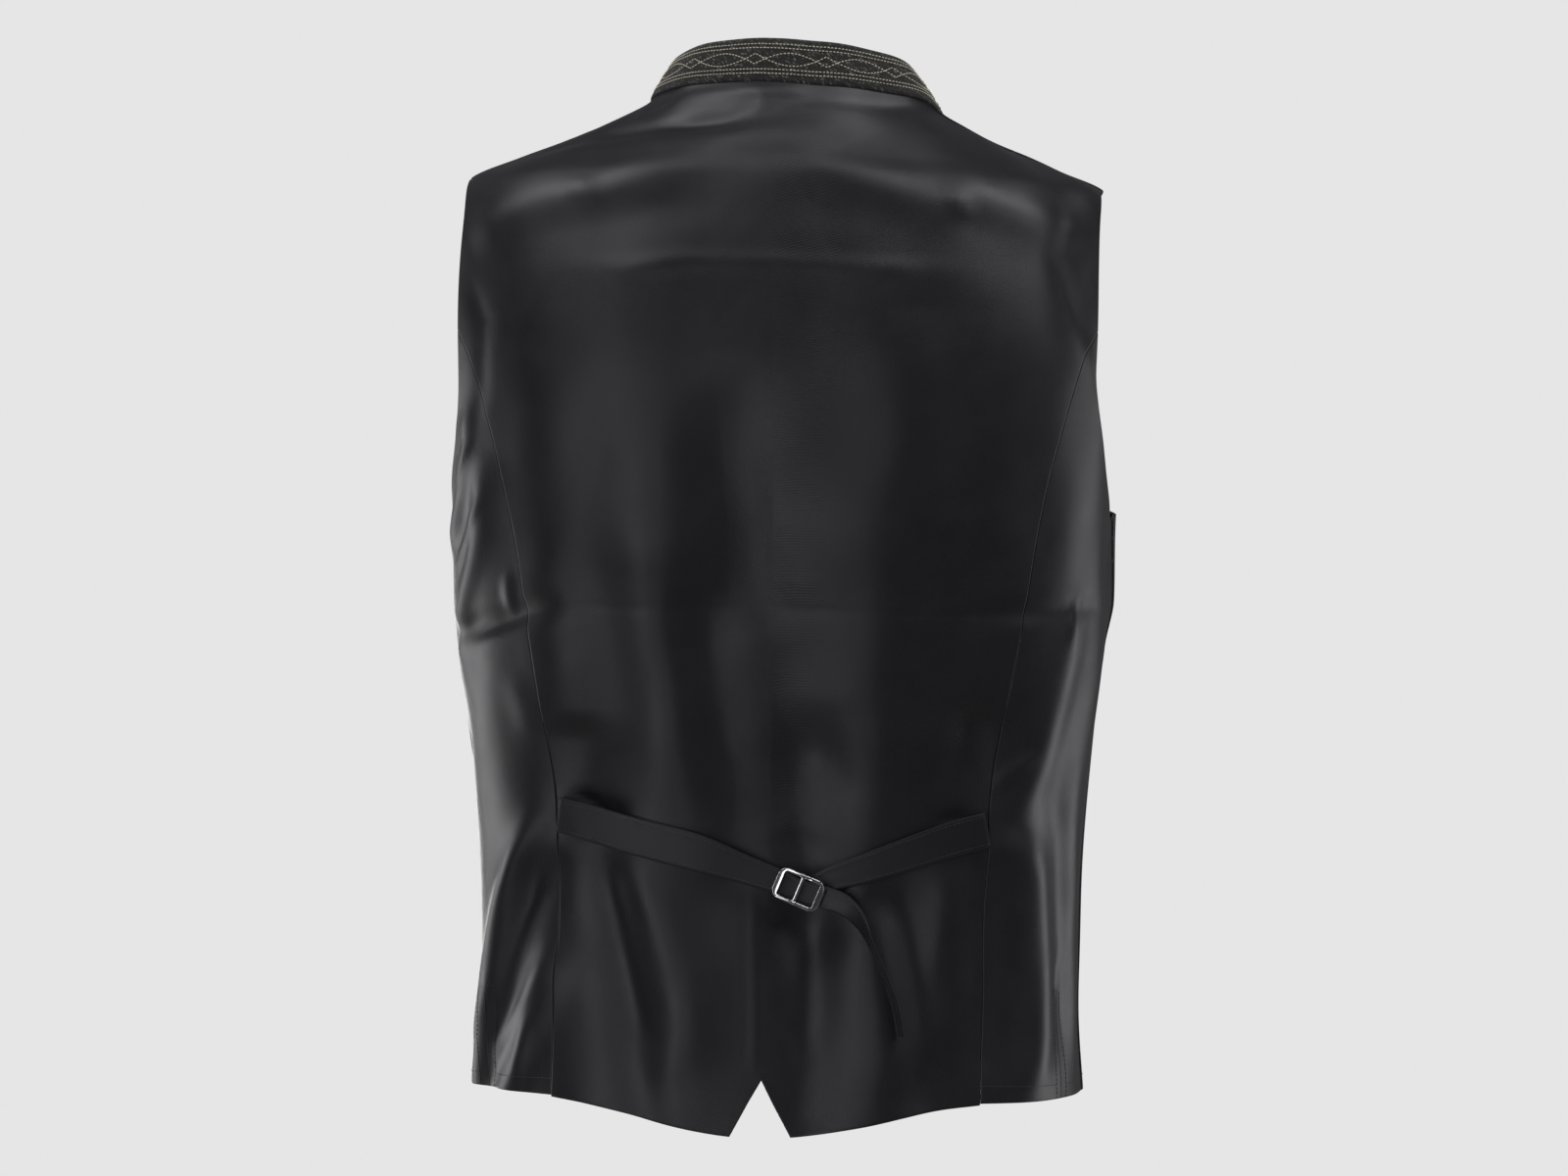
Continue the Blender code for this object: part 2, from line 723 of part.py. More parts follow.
def add_collar(collection):
    feet = collar_feet()
    from_end = [0.0]
    for a, b in zip(feet, feet[1:]):
        from_end.append(from_end[-1] + (b[0] - a[0]).length)
    whole = from_end[-1]

    def place(i, j):
        foot, rise = feet[i]
        tall = collar_height(min(from_end[i], whole - from_end[i]))
        share = j / COLLAR_ROWS
        crown = math.sin(share * math.pi) * 0.6
        outward = Vector((foot.x, foot.y, 0)).normalized()
        return foot + rise * tall * share + outward * crown

    return sheet("collar", len(feet) - 1, COLLAR_ROWS, place, COLLAR_CLOTH, "collar_wool", collection)


# ---------------------------------------------------------------- the back strap

# Stations of each strap: distance from the centre (left is plus), height, width of the band, how far
# it lies off the folds under it, and how far it is twisted out of the back's plane, in degrees
Station = namedtuple("Station", "across height width off twist")
LEFT_STRAP = (
    Station(131.5, -444, 22, 0.5, 0),
    Station(112, -448, 22.5, 0.5, 0),
    Station(80, -456.5, 23, 0.5, 0),
    Station(46, -465, 23, 0.6, 0),
    Station(20, -474, 18.5, 1.0, 0),
    Station(-5, -483, 15, 3.2, 0),
    Station(-19, -489, 13.5, 4.9, 0),
    Station(-34, -493, 13.5, 5.4, 0),
    Station(-46, -497, 13, 5.4, 10),
    Station(-55, -505, 12, 5.9, 40),
    Station(-62, -518, 11.5, 6.6, 72),
    Station(-70, -536, 11, 6.6, 80),
    Station(-78, -556, 10.5, 6.4, 82),
    Station(-83, -578, 10, 6.2, 82),
)
RIGHT_STRAP = (
    Station(-131.5, -452, 22, 0.5, 0),
    Station(-112, -457, 22, 0.5, 0),
    Station(-86, -466, 20.5, 0.5, 0),
    Station(-60, -475, 18, 0.5, 0),
    Station(-42, -481, 15.5, 0.5, 0),
    Station(-30, -486, 13.5, 0.3, 0),
)
STRAP_STEPS = 4
STRAP_ROWS = 2


def back_frame(across, height, rise):
    """A point so far off the form's back, with the outward direction there."""
    turn = math.copysign(turn_at(abs(across), height), across)
    outward = form_normal(turn, height)
    return leaned(form(turn, height) + outward * rise), outward


def strap_stations(table):
    """The table's stations and smooth ones between them."""
    knots = list(range(len(table)))
    count = (len(table) - 1) * STRAP_STEPS
    return [
        Station(*(through(knots, [row[c] for row in table], k / STRAP_STEPS) for c in range(5)))
        for k in range(count + 1)
    ]


def strap_rises(stations):
    """How far off the form a taut band lies: over the folds' crests, bridging the hollows."""

    def crest(station):
        turn = math.copysign(turn_at(abs(station.across), station.height), station.across)
        edges = (-0.6, -0.3, 0, 0.3, 0.6)
        return max(fold_rise(turn, station.height + station.width * e) for e in edges)

    crests = [crest(station) for station in stations]
    reach = STRAP_STEPS
    held = [max(crests[max(0, k - reach) : k + reach + 1]) for k in range(len(crests))]
    eased = []
    for k in range(len(held)):
        near = held[max(0, k - reach) : k + reach + 1]
        eased.append(sum(near) / len(near))
    return [SATIN + rise + station.off for rise, station in zip(eased, stations)]


def add_strap(name, table, collection):
    stations = strap_stations(table)
    rises = strap_rises(stations)
    frames = [back_frame(s.across, s.height, rise) for s, rise in zip(stations, rises)]

    def place(i, j):
        point, outward = frames[i]
        ahead = frames[min(i + 1, len(frames) - 1)][0] - frames[max(i - 1, 0)][0]
        ahead.normalize()
        across = outward.cross(ahead).normalized()
        if across.z < 0:
            across = -across
        turned = Matrix.Rotation(math.radians(stations[i].twist), 3, ahead)
        return point + turned @ across * stations[i].width * (j / STRAP_ROWS - 0.5)

    return sheet(name, len(stations) - 1, STRAP_ROWS, place, STRAP_CLOTH, "satin", collection)


# ---------------------------------------------------------------- the buckle


def rounded_outline(length, width, radius, steps=6):
    """Points of a rectangle with round corners, anticlockwise."""
    points = []
    for corner in range(4):
        cx = (length / 2 - radius) * (1 if corner in (0, 3) else -1)
        cy = (width / 2 - radius) * (1 if corner in (0, 1) else -1)
        for k in range(steps + 1):
            angle = math.pi / 2 * (corner + k / steps)
            points.append((cx + radius * math.cos(angle), cy + radius * math.sin(angle)))
    return points


def buckle_rise():
    """How far off the form the buckle lies: on the strap's highest point under it."""
    stations = strap_stations(LEFT_STRAP)
    near = [
        rise
        for station, rise in zip(stations, strap_rises(stations))
        if abs(station.across - BUCKLE_AT[0]) < BUCKLE_LENGTH / 2 + 3
    ]
    return max(near) + STRAP_CLOTH + 0.45


def add_buckle(collection):
    """A flat frame with two windows, one each side of its prong bar, standing over the strap."""
    centre, outward = back_frame(BUCKLE_AT[0], BUCKLE_AT[1], buckle_rise())
    curve = bpy.data.curves.new("buckle", "CURVE")
    curve.dimensions = "2D"
    curve.fill_mode = "BOTH"
    curve.extrude = BUCKLE_PLATE / 2 * MM
    curve.bevel_depth = 0.3 * MM
    curve.bevel_resolution = 1
    bar, rail, prong = 4.6, 2.0, 2.2
    window_length = (BUCKLE_LENGTH - 2 * bar - prong) / 2
    shapes = [(rounded_outline(BUCKLE_LENGTH, BUCKLE_WIDTH, 4.5), 0)]
    for side in (-1, 1):
        hole = rounded_outline(window_length, BUCKLE_WIDTH - 2 * rail, 1.2, 3)
        shapes.append((hole, side * (window_length + prong) / 2))
    for outline, shift in shapes:
        spline = curve.splines.new("POLY")
        spline.points.add(len(outline) - 1)
        for point, (x, y) in zip(spline.points, outline):
            point.co = ((x + shift) * MM, y * MM, 0, 1)
        spline.use_cyclic_u = True
    flat = bpy.data.objects.new("buckle_outline", curve)
    collection.objects.link(flat)
    bpy.context.view_layer.update()
    mesh = bpy.data.meshes.new_from_object(flat.evaluated_get(bpy.context.evaluated_depsgraph_get()))
    bpy.data.objects.remove(flat)
    weld = bmesh.new()
    weld.from_mesh(mesh)
    bmesh.ops.remove_doubles(weld, verts=weld.verts, dist=1e-6)
    weld.to_mesh(mesh)
    weld.free()
    mesh.materials.clear()
    thing = placed("buckle", mesh, "steel", collection)
    upward = Vector((0, 0, 1)) - outward * outward.z
    upward.normalize()
    sideways = upward.cross(outward)
    turned = Matrix((sideways, upward, outward)).transposed().to_4x4()
    thing.matrix_world = (
        Matrix.Translation((centre + outward * (BUCKLE_PLATE / 2 + 0.3)) * MM)
        @ turned
        @ Matrix.Rotation(BUCKLE_TILT, 4, "Z")
    )
    return thing


# ---------------------------------------------------------------- the buttons

# Half the profile of a button, from the outer middle to the inner middle: radius, height
Ring = namedtuple("Ring", "radius height")
BUTTON_PROFILE = (
    Ring(0.0, 2.6),
    Ring(4.6, 2.7),
    Ring(6.2, 3.5),
    Ring(8.1, 3.3),
    Ring(9.0, 2.2),
    Ring(8.3, 1.1),
    Ring(3.2, 0.7),
    Ring(3.0, 0.0),
    Ring(0.0, 0.0),
)
BUTTON_SIDES = 16


def button_mesh():
    work = bmesh.new()
    verts = [work.verts.new((ring.radius * MM, 0, ring.height * MM)) for ring in BUTTON_PROFILE]
    for a, b in zip(verts, verts[1:]):
        work.edges.new((a, b))
    bmesh.ops.spin(
        work,
        geom=work.verts[:] + work.edges[:],
        axis=(0, 0, 1),
        cent=(0, 0, 0),
        steps=BUTTON_SIDES,
        angle=math.tau,
        use_merge=True,
    )
    bmesh.ops.remove_doubles(work, verts=work.verts, dist=1e-6)
    bmesh.ops.recalc_face_normals(work, faces=work.faces)
    mesh = bpy.data.meshes.new("button")
    work.to_mesh(mesh)
    work.free()
    return mesh


def add_buttons(collection):
    mesh = button_mesh()
    for k in range(BUTTON_COUNT):
        height = lerp(BUTTON_FIRST, BUTTON_LAST, k / (BUTTON_COUNT - 1))
        outward = form_normal(2.0, height)
        seat = cloth(2.0, height, LAP_LIFT + WOOL + SEAM_GAP)
        shape = mesh if k == 0 else mesh.copy()
        thing = placed(f"button_{k + 1}", shape, "horn", collection)
        turned = outward.to_track_quat("Z", "Y").to_matrix().to_4x4()
        thing.matrix_world = Matrix.Translation(seat * MM) @ turned


def main():
    for thing in list(bpy.data.objects):
        bpy.data.objects.remove(thing)
    vest = bpy.data.collections.new("trachten_vest")
    bpy.context.scene.collection.children.link(vest)
    add_back(vest)
    side, front = side_grid(), front_grid()
    add_side("side_left", 1, side, vest)
    add_side("side_right", -1, side, vest)
    add_front("front_left", 1, front, True, vest)
    add_front("front_right", -1, front, False, vest)
    add_collar(vest)
    add_strap("strap_left", LEFT_STRAP, vest)
    add_strap("strap_right", RIGHT_STRAP, vest)
    add_buckle(vest)
    add_buttons(vest)


main()
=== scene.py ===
"""The looks of a trachten vest, filled out as when it is worn and seen from behind.

The front of the vest faces -Y, its back faces +Y, and the wearer's left is +X. Lengths are in
millimetres until a mesh is made. The cloth lies on one body form, read at (turn, height): turn is 0 at
the centre back, 1 at the left side, -1 at the right side and 2 at the centre front. The form's tables
are those of the solids, so each wall lies where its solid does; finer creases are laid over them.
"""

from __future__ import annotations

import logging
import math
from collections.abc import Callable, Sequence
from dataclasses import dataclass, field
from enum import Enum

import bmesh
import bpy
import numpy as np
from mathutils import Matrix, Vector

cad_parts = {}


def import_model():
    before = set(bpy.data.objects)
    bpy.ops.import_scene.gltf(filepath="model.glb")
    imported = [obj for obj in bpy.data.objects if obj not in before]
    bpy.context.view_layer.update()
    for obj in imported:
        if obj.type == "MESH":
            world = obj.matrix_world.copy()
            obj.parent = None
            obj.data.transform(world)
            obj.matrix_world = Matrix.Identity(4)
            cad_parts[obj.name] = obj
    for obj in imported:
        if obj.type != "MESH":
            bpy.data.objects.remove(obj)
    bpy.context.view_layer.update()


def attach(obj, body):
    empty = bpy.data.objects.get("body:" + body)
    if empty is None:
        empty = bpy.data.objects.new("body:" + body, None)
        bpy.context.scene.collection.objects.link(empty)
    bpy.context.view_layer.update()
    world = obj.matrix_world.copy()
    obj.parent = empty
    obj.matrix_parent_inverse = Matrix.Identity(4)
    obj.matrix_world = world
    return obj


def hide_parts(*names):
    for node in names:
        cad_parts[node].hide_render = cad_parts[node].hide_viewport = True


log = logging.getLogger("trachten_vest")

Array = np.ndarray
Colour = tuple[float, float, float, float]
Curve = Callable[[Array], tuple[Array, Array]]
Node = bpy.types.Node
Socket = bpy.types.NodeSocket
Tree = bpy.types.NodeTree
Material = bpy.types.Material

MM = 0.001

# Cloth and seams
SATIN = 1.2
WOOL = 2.4
COLLAR_CLOTH = 2.8
STRAP_CLOTH = 1.3
SEAM_GAP = 0.05
TIP_GAP = 1.6  # how many times wider the gap is along the shoulder seam
BUTTON_GAP = 0.4
SHARP_ANGLE = math.radians(62)
ROUNDED_LINES = (0.35, 0.9, 1.7)  # grid lines beside a rounded edge
ROUNDED_CLEAR = 0.6
CURVE_SAMPLES = 481
SLIT_LEAST = 0.2
LEVEL = np.array([1, 1, 0])

# Heights, above the level of the neck points
HEM = -619.0
NOTCH_TOP = -605.0
NOTCH_HALF_WIDTH = 18.5
FRONT_HEM = -622.0
NECK_BACK = 9.0
NECK_SIDE = -2.0
NECK_FRONT = -78.0
SHOULDER_TIP = -51.0
ARMHOLE_SEAM = -145.0
ARMHOLE_BASE = -262.0
CORE_TOP = -130.0

# The fronts' lap and the side seams
SIDE_SEAM = 1.05
FRONT_LAP = 18.0
LAP_LIFT = WOOL + 0.5
LAP_EASE = 45.0

SECTION_FIELDS = ("half_width", "back", "front", "side", "squareness")
SECTIONS = (
    (15, 82, 56, 58, 0, 2.0),
    (9, 86, 60, 62, 0, 2.0),
    (-2, 91, 66, 68, 0, 2.0),
    (-10, 104, 72, 73, 0, 2.0),
    (-24, 136, 81, 80, 0, 2.0),
    (-38, 170, 90, 86, 0, 2.05),
    (-51, 199, 99, 92, 0, 2.1),
    (-70, 209, 107, 98, 0, 2.2),
    (-98, 214, 116, 106, 0, 2.3),
    (-145, 216, 123, 117, 0, 2.4),
    (-200, 211, 124, 125, 0, 2.4),
    (-262, 206, 119, 128, 2, 2.4),
    (-330, 204.5, 112, 125, 3, 2.4),
    (-390, 197, 104, 119, 4, 2.35),
    (-444, 191, 99, 114, 5, 2.3),
    (-495, 188, 96, 112, 5, 2.3),
    (-555, 187, 99, 113, 5, 2.25),
    (-619, 189, 105, 114, 5, 2.2),
    (-650, 190, 107, 114, 5, 2.2),
)

# How the worn vest leans and turns: height, shift, roll, twist
LEAN_FIELDS = ("shift", "roll", "twist")
LEANS = (
    (40, -12, 0.05, 0),
    (-2, -11, 0.045, 0),
    (-51, -4, 0.027, -0.03),
    (-145, 0, 0.008, -0.055),
    (-221, 0, 0, -0.06),
    (-317, 0, 0, -0.055),
    (-434, 0, 0, -0.03),
    (-550, 0, 0, 0.0),
    (-619, 0, 0.012, 0.025),
)

# Half distances of the back's side edge, and of a front's armhole, from the middle: height, reach
BACK_SEAM = (
    (-619, 132),
    (-550, 132),
    (-511, 131),
    (-466, 132.5),
    (-434, 134.5),
    (-388, 141.5),
    (-317, 153.5),
    (-266, 162),
    (-221, 172),
    (-171, 187),
    (-145, 198),
)
BACK_ARMHOLE = ((-145, 198), (-115, 198), (-85, 198), (-51, 199))
FRONT_ARMHOLE = (
    (-262, 203),
    (-248, 191),
    (-227, 180),
    (-197, 171),
    (-157, 168),
    (-117, 173),
    (-82, 183),
    (-51, 199),
)
BACK_HEM = ((0, -640), (18, -639.5), (38, -637), (62, -632.5), (86, -627), (110, -622.5), (132, -620))
BACK_REACHES = (0, 9.25, 18.5, 28, 38, 48, 58, 71, 84, 96, 108, 120, 132)


# Shapes of folds and ripples
FOLD_FADE = 0.3
CREASE_REACH = 3
CREASE_END = 0.15
RIPPLE_LENGTHS = (34, 110)
RIPPLE_SLANT = 0.35
RIPPLE_RISE = 0.0045

# How the form is read
GIRTH_SHARE = 0.62
RAY_RANGE = (0.3, 3.0)
RAY_HALVINGS = 28
WRAP_TURN = -1.5


# ---------------------------------------------------------------- small sums


def lerp(a: Array | float, b: Array | float, share: Array | float) -> Array | float:
    """The value that lies that share of the way from a to b."""
    return a + (b - a) * share


def smooth(share: Array | float) -> Array:
    """0 to 1 with level ends."""
    t = np.clip(share, 0.0, 1.0)
    return t * t * (3 - 2 * t)


def bell(distance: Array) -> Array:
    """The cross-section of a soft fold."""
    return np.exp(-distance * distance)


def unit(vectors: Array) -> Array:
    """The vectors, each of length 1."""
    return vectors / np.maximum(np.linalg.norm(vectors, axis=-1, keepdims=True), 1e-12)


def seeded(seed: int) -> np.random.Generator:
    """A random source that gives the same numbers on every run."""
    return np.random.default_rng(seed)


class SmoothCurve:
    """A smooth curve through values at rising knots, held level past both ends."""

    def __init__(self, knots: Sequence[float], values: Sequence[float]) -> None:
        """Sorts the knots and works out the slope at each.

        Args:
            knots: Where the values stand, in any order.
            values: The value at each knot.
        """
        order = np.argsort(knots)
        self.knots = np.asarray(knots, float)[order]
        self.values = np.asarray(values, float)[order]
        low = np.maximum(np.arange(len(knots)) - 1, 0)
        high = np.minimum(np.arange(len(knots)) + 1, len(knots) - 1)
        self.slopes = (self.values[high] - self.values[low]) / (self.knots[high] - self.knots[low])

    def __call__(self, at: Array | float) -> Array:
        """The curve's value at each place."""
        at = np.clip(at, self.knots[0], self.knots[-1])
        i = np.clip(np.searchsorted(self.knots, at, side="right") - 1, 0, len(self.knots) - 2)
        span = self.knots[i + 1] - self.knots[i]
        t = (at - self.knots[i]) / span
        return (
            self.values[i] * (2 * t**3 - 3 * t**2 + 1)
            + self.values[i + 1] * (3 * t**2 - 2 * t**3)
            + span * self.slopes[i] * (t**3 - 2 * t**2 + t)
            + span * self.slopes[i + 1] * (t**3 - t**2)
        )


def columns_of(table: Sequence[Sequence[float]], names: Sequence[str]) -> dict[str, SmoothCurve]:
    """The curves of a table whose first column is a height.

    Args:
        table: Rows of a height and one value for each name.
        names: The names of the columns after the height.

    Returns:
        A smooth curve by name.
    """
    heights = [row[0] for row in table]
    return {name: SmoothCurve(heights, [row[k + 1] for row in table]) for k, name in enumerate(names)}


# ---------------------------------------------------------------- folds


@dataclass(frozen=True)
class DownFold:
    """A fold that runs down the cloth: turns at its top, middle and bottom, and its heights."""

    top: float
    middle: float
    bottom: float
    high: float
    low: float
    spread: float
    rise: float

    def at(self, turn: Array, height: Array, girth: Array) -> Array:
        """How far this fold carries the cloth out.

        Args:
            turn: Turn of each point.
            height: Height of each point.
            girth: Cloth taken by one unit of turn there.

        Returns:
            The outward rise at each point.
        """
        fade = (self.high - self.low) * FOLD_FADE
        here = smooth((self.high + fade / 2 - height) / fade) * smooth((height - self.low + fade / 2) / fade)
        line = SmoothCurve(
            (self.low, (self.low + self.high) / 2, self.high), (self.bottom, self.middle, self.top)
        )
        return self.rise * here * bell((turn - line(height)) * girth / self.spread)


@dataclass(frozen=True)
class CrossFold:
    """A fold that runs across: heights at its start, middle and end, and its turns."""

    start: float
    middle: float
    end: float
    turn_from: float
    turn_to: float
    spread: float
    rise: float

    def at(self, turn: Array, height: Array, girth: Array) -> Array:
        """How far this fold carries the cloth out; the arguments are those of DownFold.at."""
        low, high = sorted((self.turn_from, self.turn_to))
        fade = (high - low) * FOLD_FADE
        here = smooth((high + fade / 2 - turn) / fade) * smooth((turn - low + fade / 2) / fade)
        line = SmoothCurve((0, 0.5, 1), (self.start, self.middle, self.end))
        share = (turn - self.turn_from) / (self.turn_to - self.turn_from)
        return self.rise * here * bell((height - line(share)) / self.spread)


@dataclass(frozen=True)
class Crease:
    """A finer crease along a given line of (turn, height) points."""

    name: str
    spread: float
    rise: float
    line: tuple[tuple[float, float], ...]
    fade: float = 28.0

    def at(self, turn: Array, height: Array, girth: Array, girth_at: Callable[[Array], Array]) -> Array:
        """How far this crease carries the cloth out.

        Args:
            turn: Turn of each point.
            height: Height of each point.
            girth: Cloth taken by one unit of turn at each point.
            girth_at: The same, as a function of height.

        Returns:
            The outward rise at each point.
        """
        turns = np.array([p[0] for p in self.line])
        heights = np.array([p[1] for p in self.line])
        knots = np.stack([turns * girth_at(heights), heights], -1)
        margin = CREASE_REACH * self.spread
        across = turn * girth
        near = (
            (height > heights.min() - margin)
            & (height < heights.max() + margin)
            & (across > knots[:, 0].min() - margin)
            & (across < knots[:, 0].max() + margin)
        )
        rise = np.zeros_like(turn)
        if not near.any():
            return rise
        here = np.stack([across[near], height[near]], -1)
        best = np.full(len(here), np.inf)
        along = np.zeros(len(here))
        done = 0.0
        for a, b in zip(knots, knots[1:]):
            length = float(np.linalg.norm(b - a))
            share = np.clip(((here - a) @ (b - a)) / length**2, 0, 1)
            far = np.linalg.norm(here - (a + share[:, None] * (b - a)), axis=-1)
            closer = far < best
            best = np.where(closer, far, best)
            along = np.where(closer, done + share * length, along)
            done += length
        fade = min(self.fade, done / 2)
        ends = smooth(along / fade + CREASE_END) * smooth((done - along) / fade + CREASE_END)
        rise[near] = self.rise * ends * bell(best / self.spread)
        return rise


DOWN_FOLDS = (
    DownFold(0.30, 0.30, 0.26, -98, -288, 42, 3.5),
    DownFold(-0.30, -0.29, -0.25, -98, -288, 42, 3.5),
    DownFold(0.27, 0.19, 0.14, -258, -463, 19, 3.5),
    DownFold(-0.16, -0.20, -0.13, -238, -463, 19, 3.5),
    DownFold(0.06, 0.04, 0.00, -178, -318, 13, -4),
    DownFold(0.16, 0.11, 0.04, -298, -493, 13, -5),
    DownFold(-0.09, -0.09, -0.09, -388, -528, 15, -7),
    DownFold(0.40, 0.40, 0.41, -388, -458, 14, -4),
    DownFold(-0.41, -0.41, -0.43, -378, -458, 13, -5),
    DownFold(0.29, 0.17, 0.19, -463, -648, 16, 4),
    DownFold(0.35, 0.30, 0.22, -453, -648, 11, -3.5),
    DownFold(-0.09, -0.10, -0.085, -488, -648, 14, -7.5),
    DownFold(-0.16, -0.25, -0.27, -490, -648, 17, 5),
    DownFold(-0.25, -0.33, -0.345, -480, -628, 11, -3.5),
    DownFold(-0.38, -0.37, -0.36, -468, -588, 12, 3),
    DownFold(0.52, 0.72, 0.86, -443, -638, 15, 6),
    DownFold(0.50, 0.64, 0.78, -468, -628, 12, -5),
    DownFold(0.47, 0.58, 0.70, -533, -653, 11, 4),
    DownFold(0.66, 0.72, 0.86, -193, -278, 9, 3),
    DownFold(0.62, 0.68, 0.82, -228, -338, 10, 3.5),
    DownFold(-0.50, -0.60, -0.55, -438, -648, 18, 6),
    DownFold(-0.70, -0.78, -0.80, -428, -588, 16, -4),
    DownFold(-0.66, -0.63, -0.56, -318, -438, 12, 3),
    DownFold(-1.16, -1.18, -1.20, -230, -326, 34, 7),
    DownFold(1.45, 1.52, 1.62, -158, -408, 30, 3),
    DownFold(-1.45, -1.52, -1.62, -158, -408, 30, 3),
    DownFold(1.32, 1.36, 1.40, -408, -648, 24, 3),
    DownFold(-1.32, -1.36, -1.40, -408, -648, 24, 3),
)
CROSS_FOLDS = (
    CrossFold(-4, 0, 2, 0.55, -0.05, 7, 2.5),
    CrossFold(-32, -22, -16, 0.75, 0.10, 7, -2.5),
    CrossFold(-110, -107, -112, 0.34, -0.32, 9, 0.9),
    CrossFold(-334, -326, -316, 0.90, 0.44, 8, -4),
    CrossFold(-320, -318, -314, -0.38, -0.80, 7, -1.5),
)
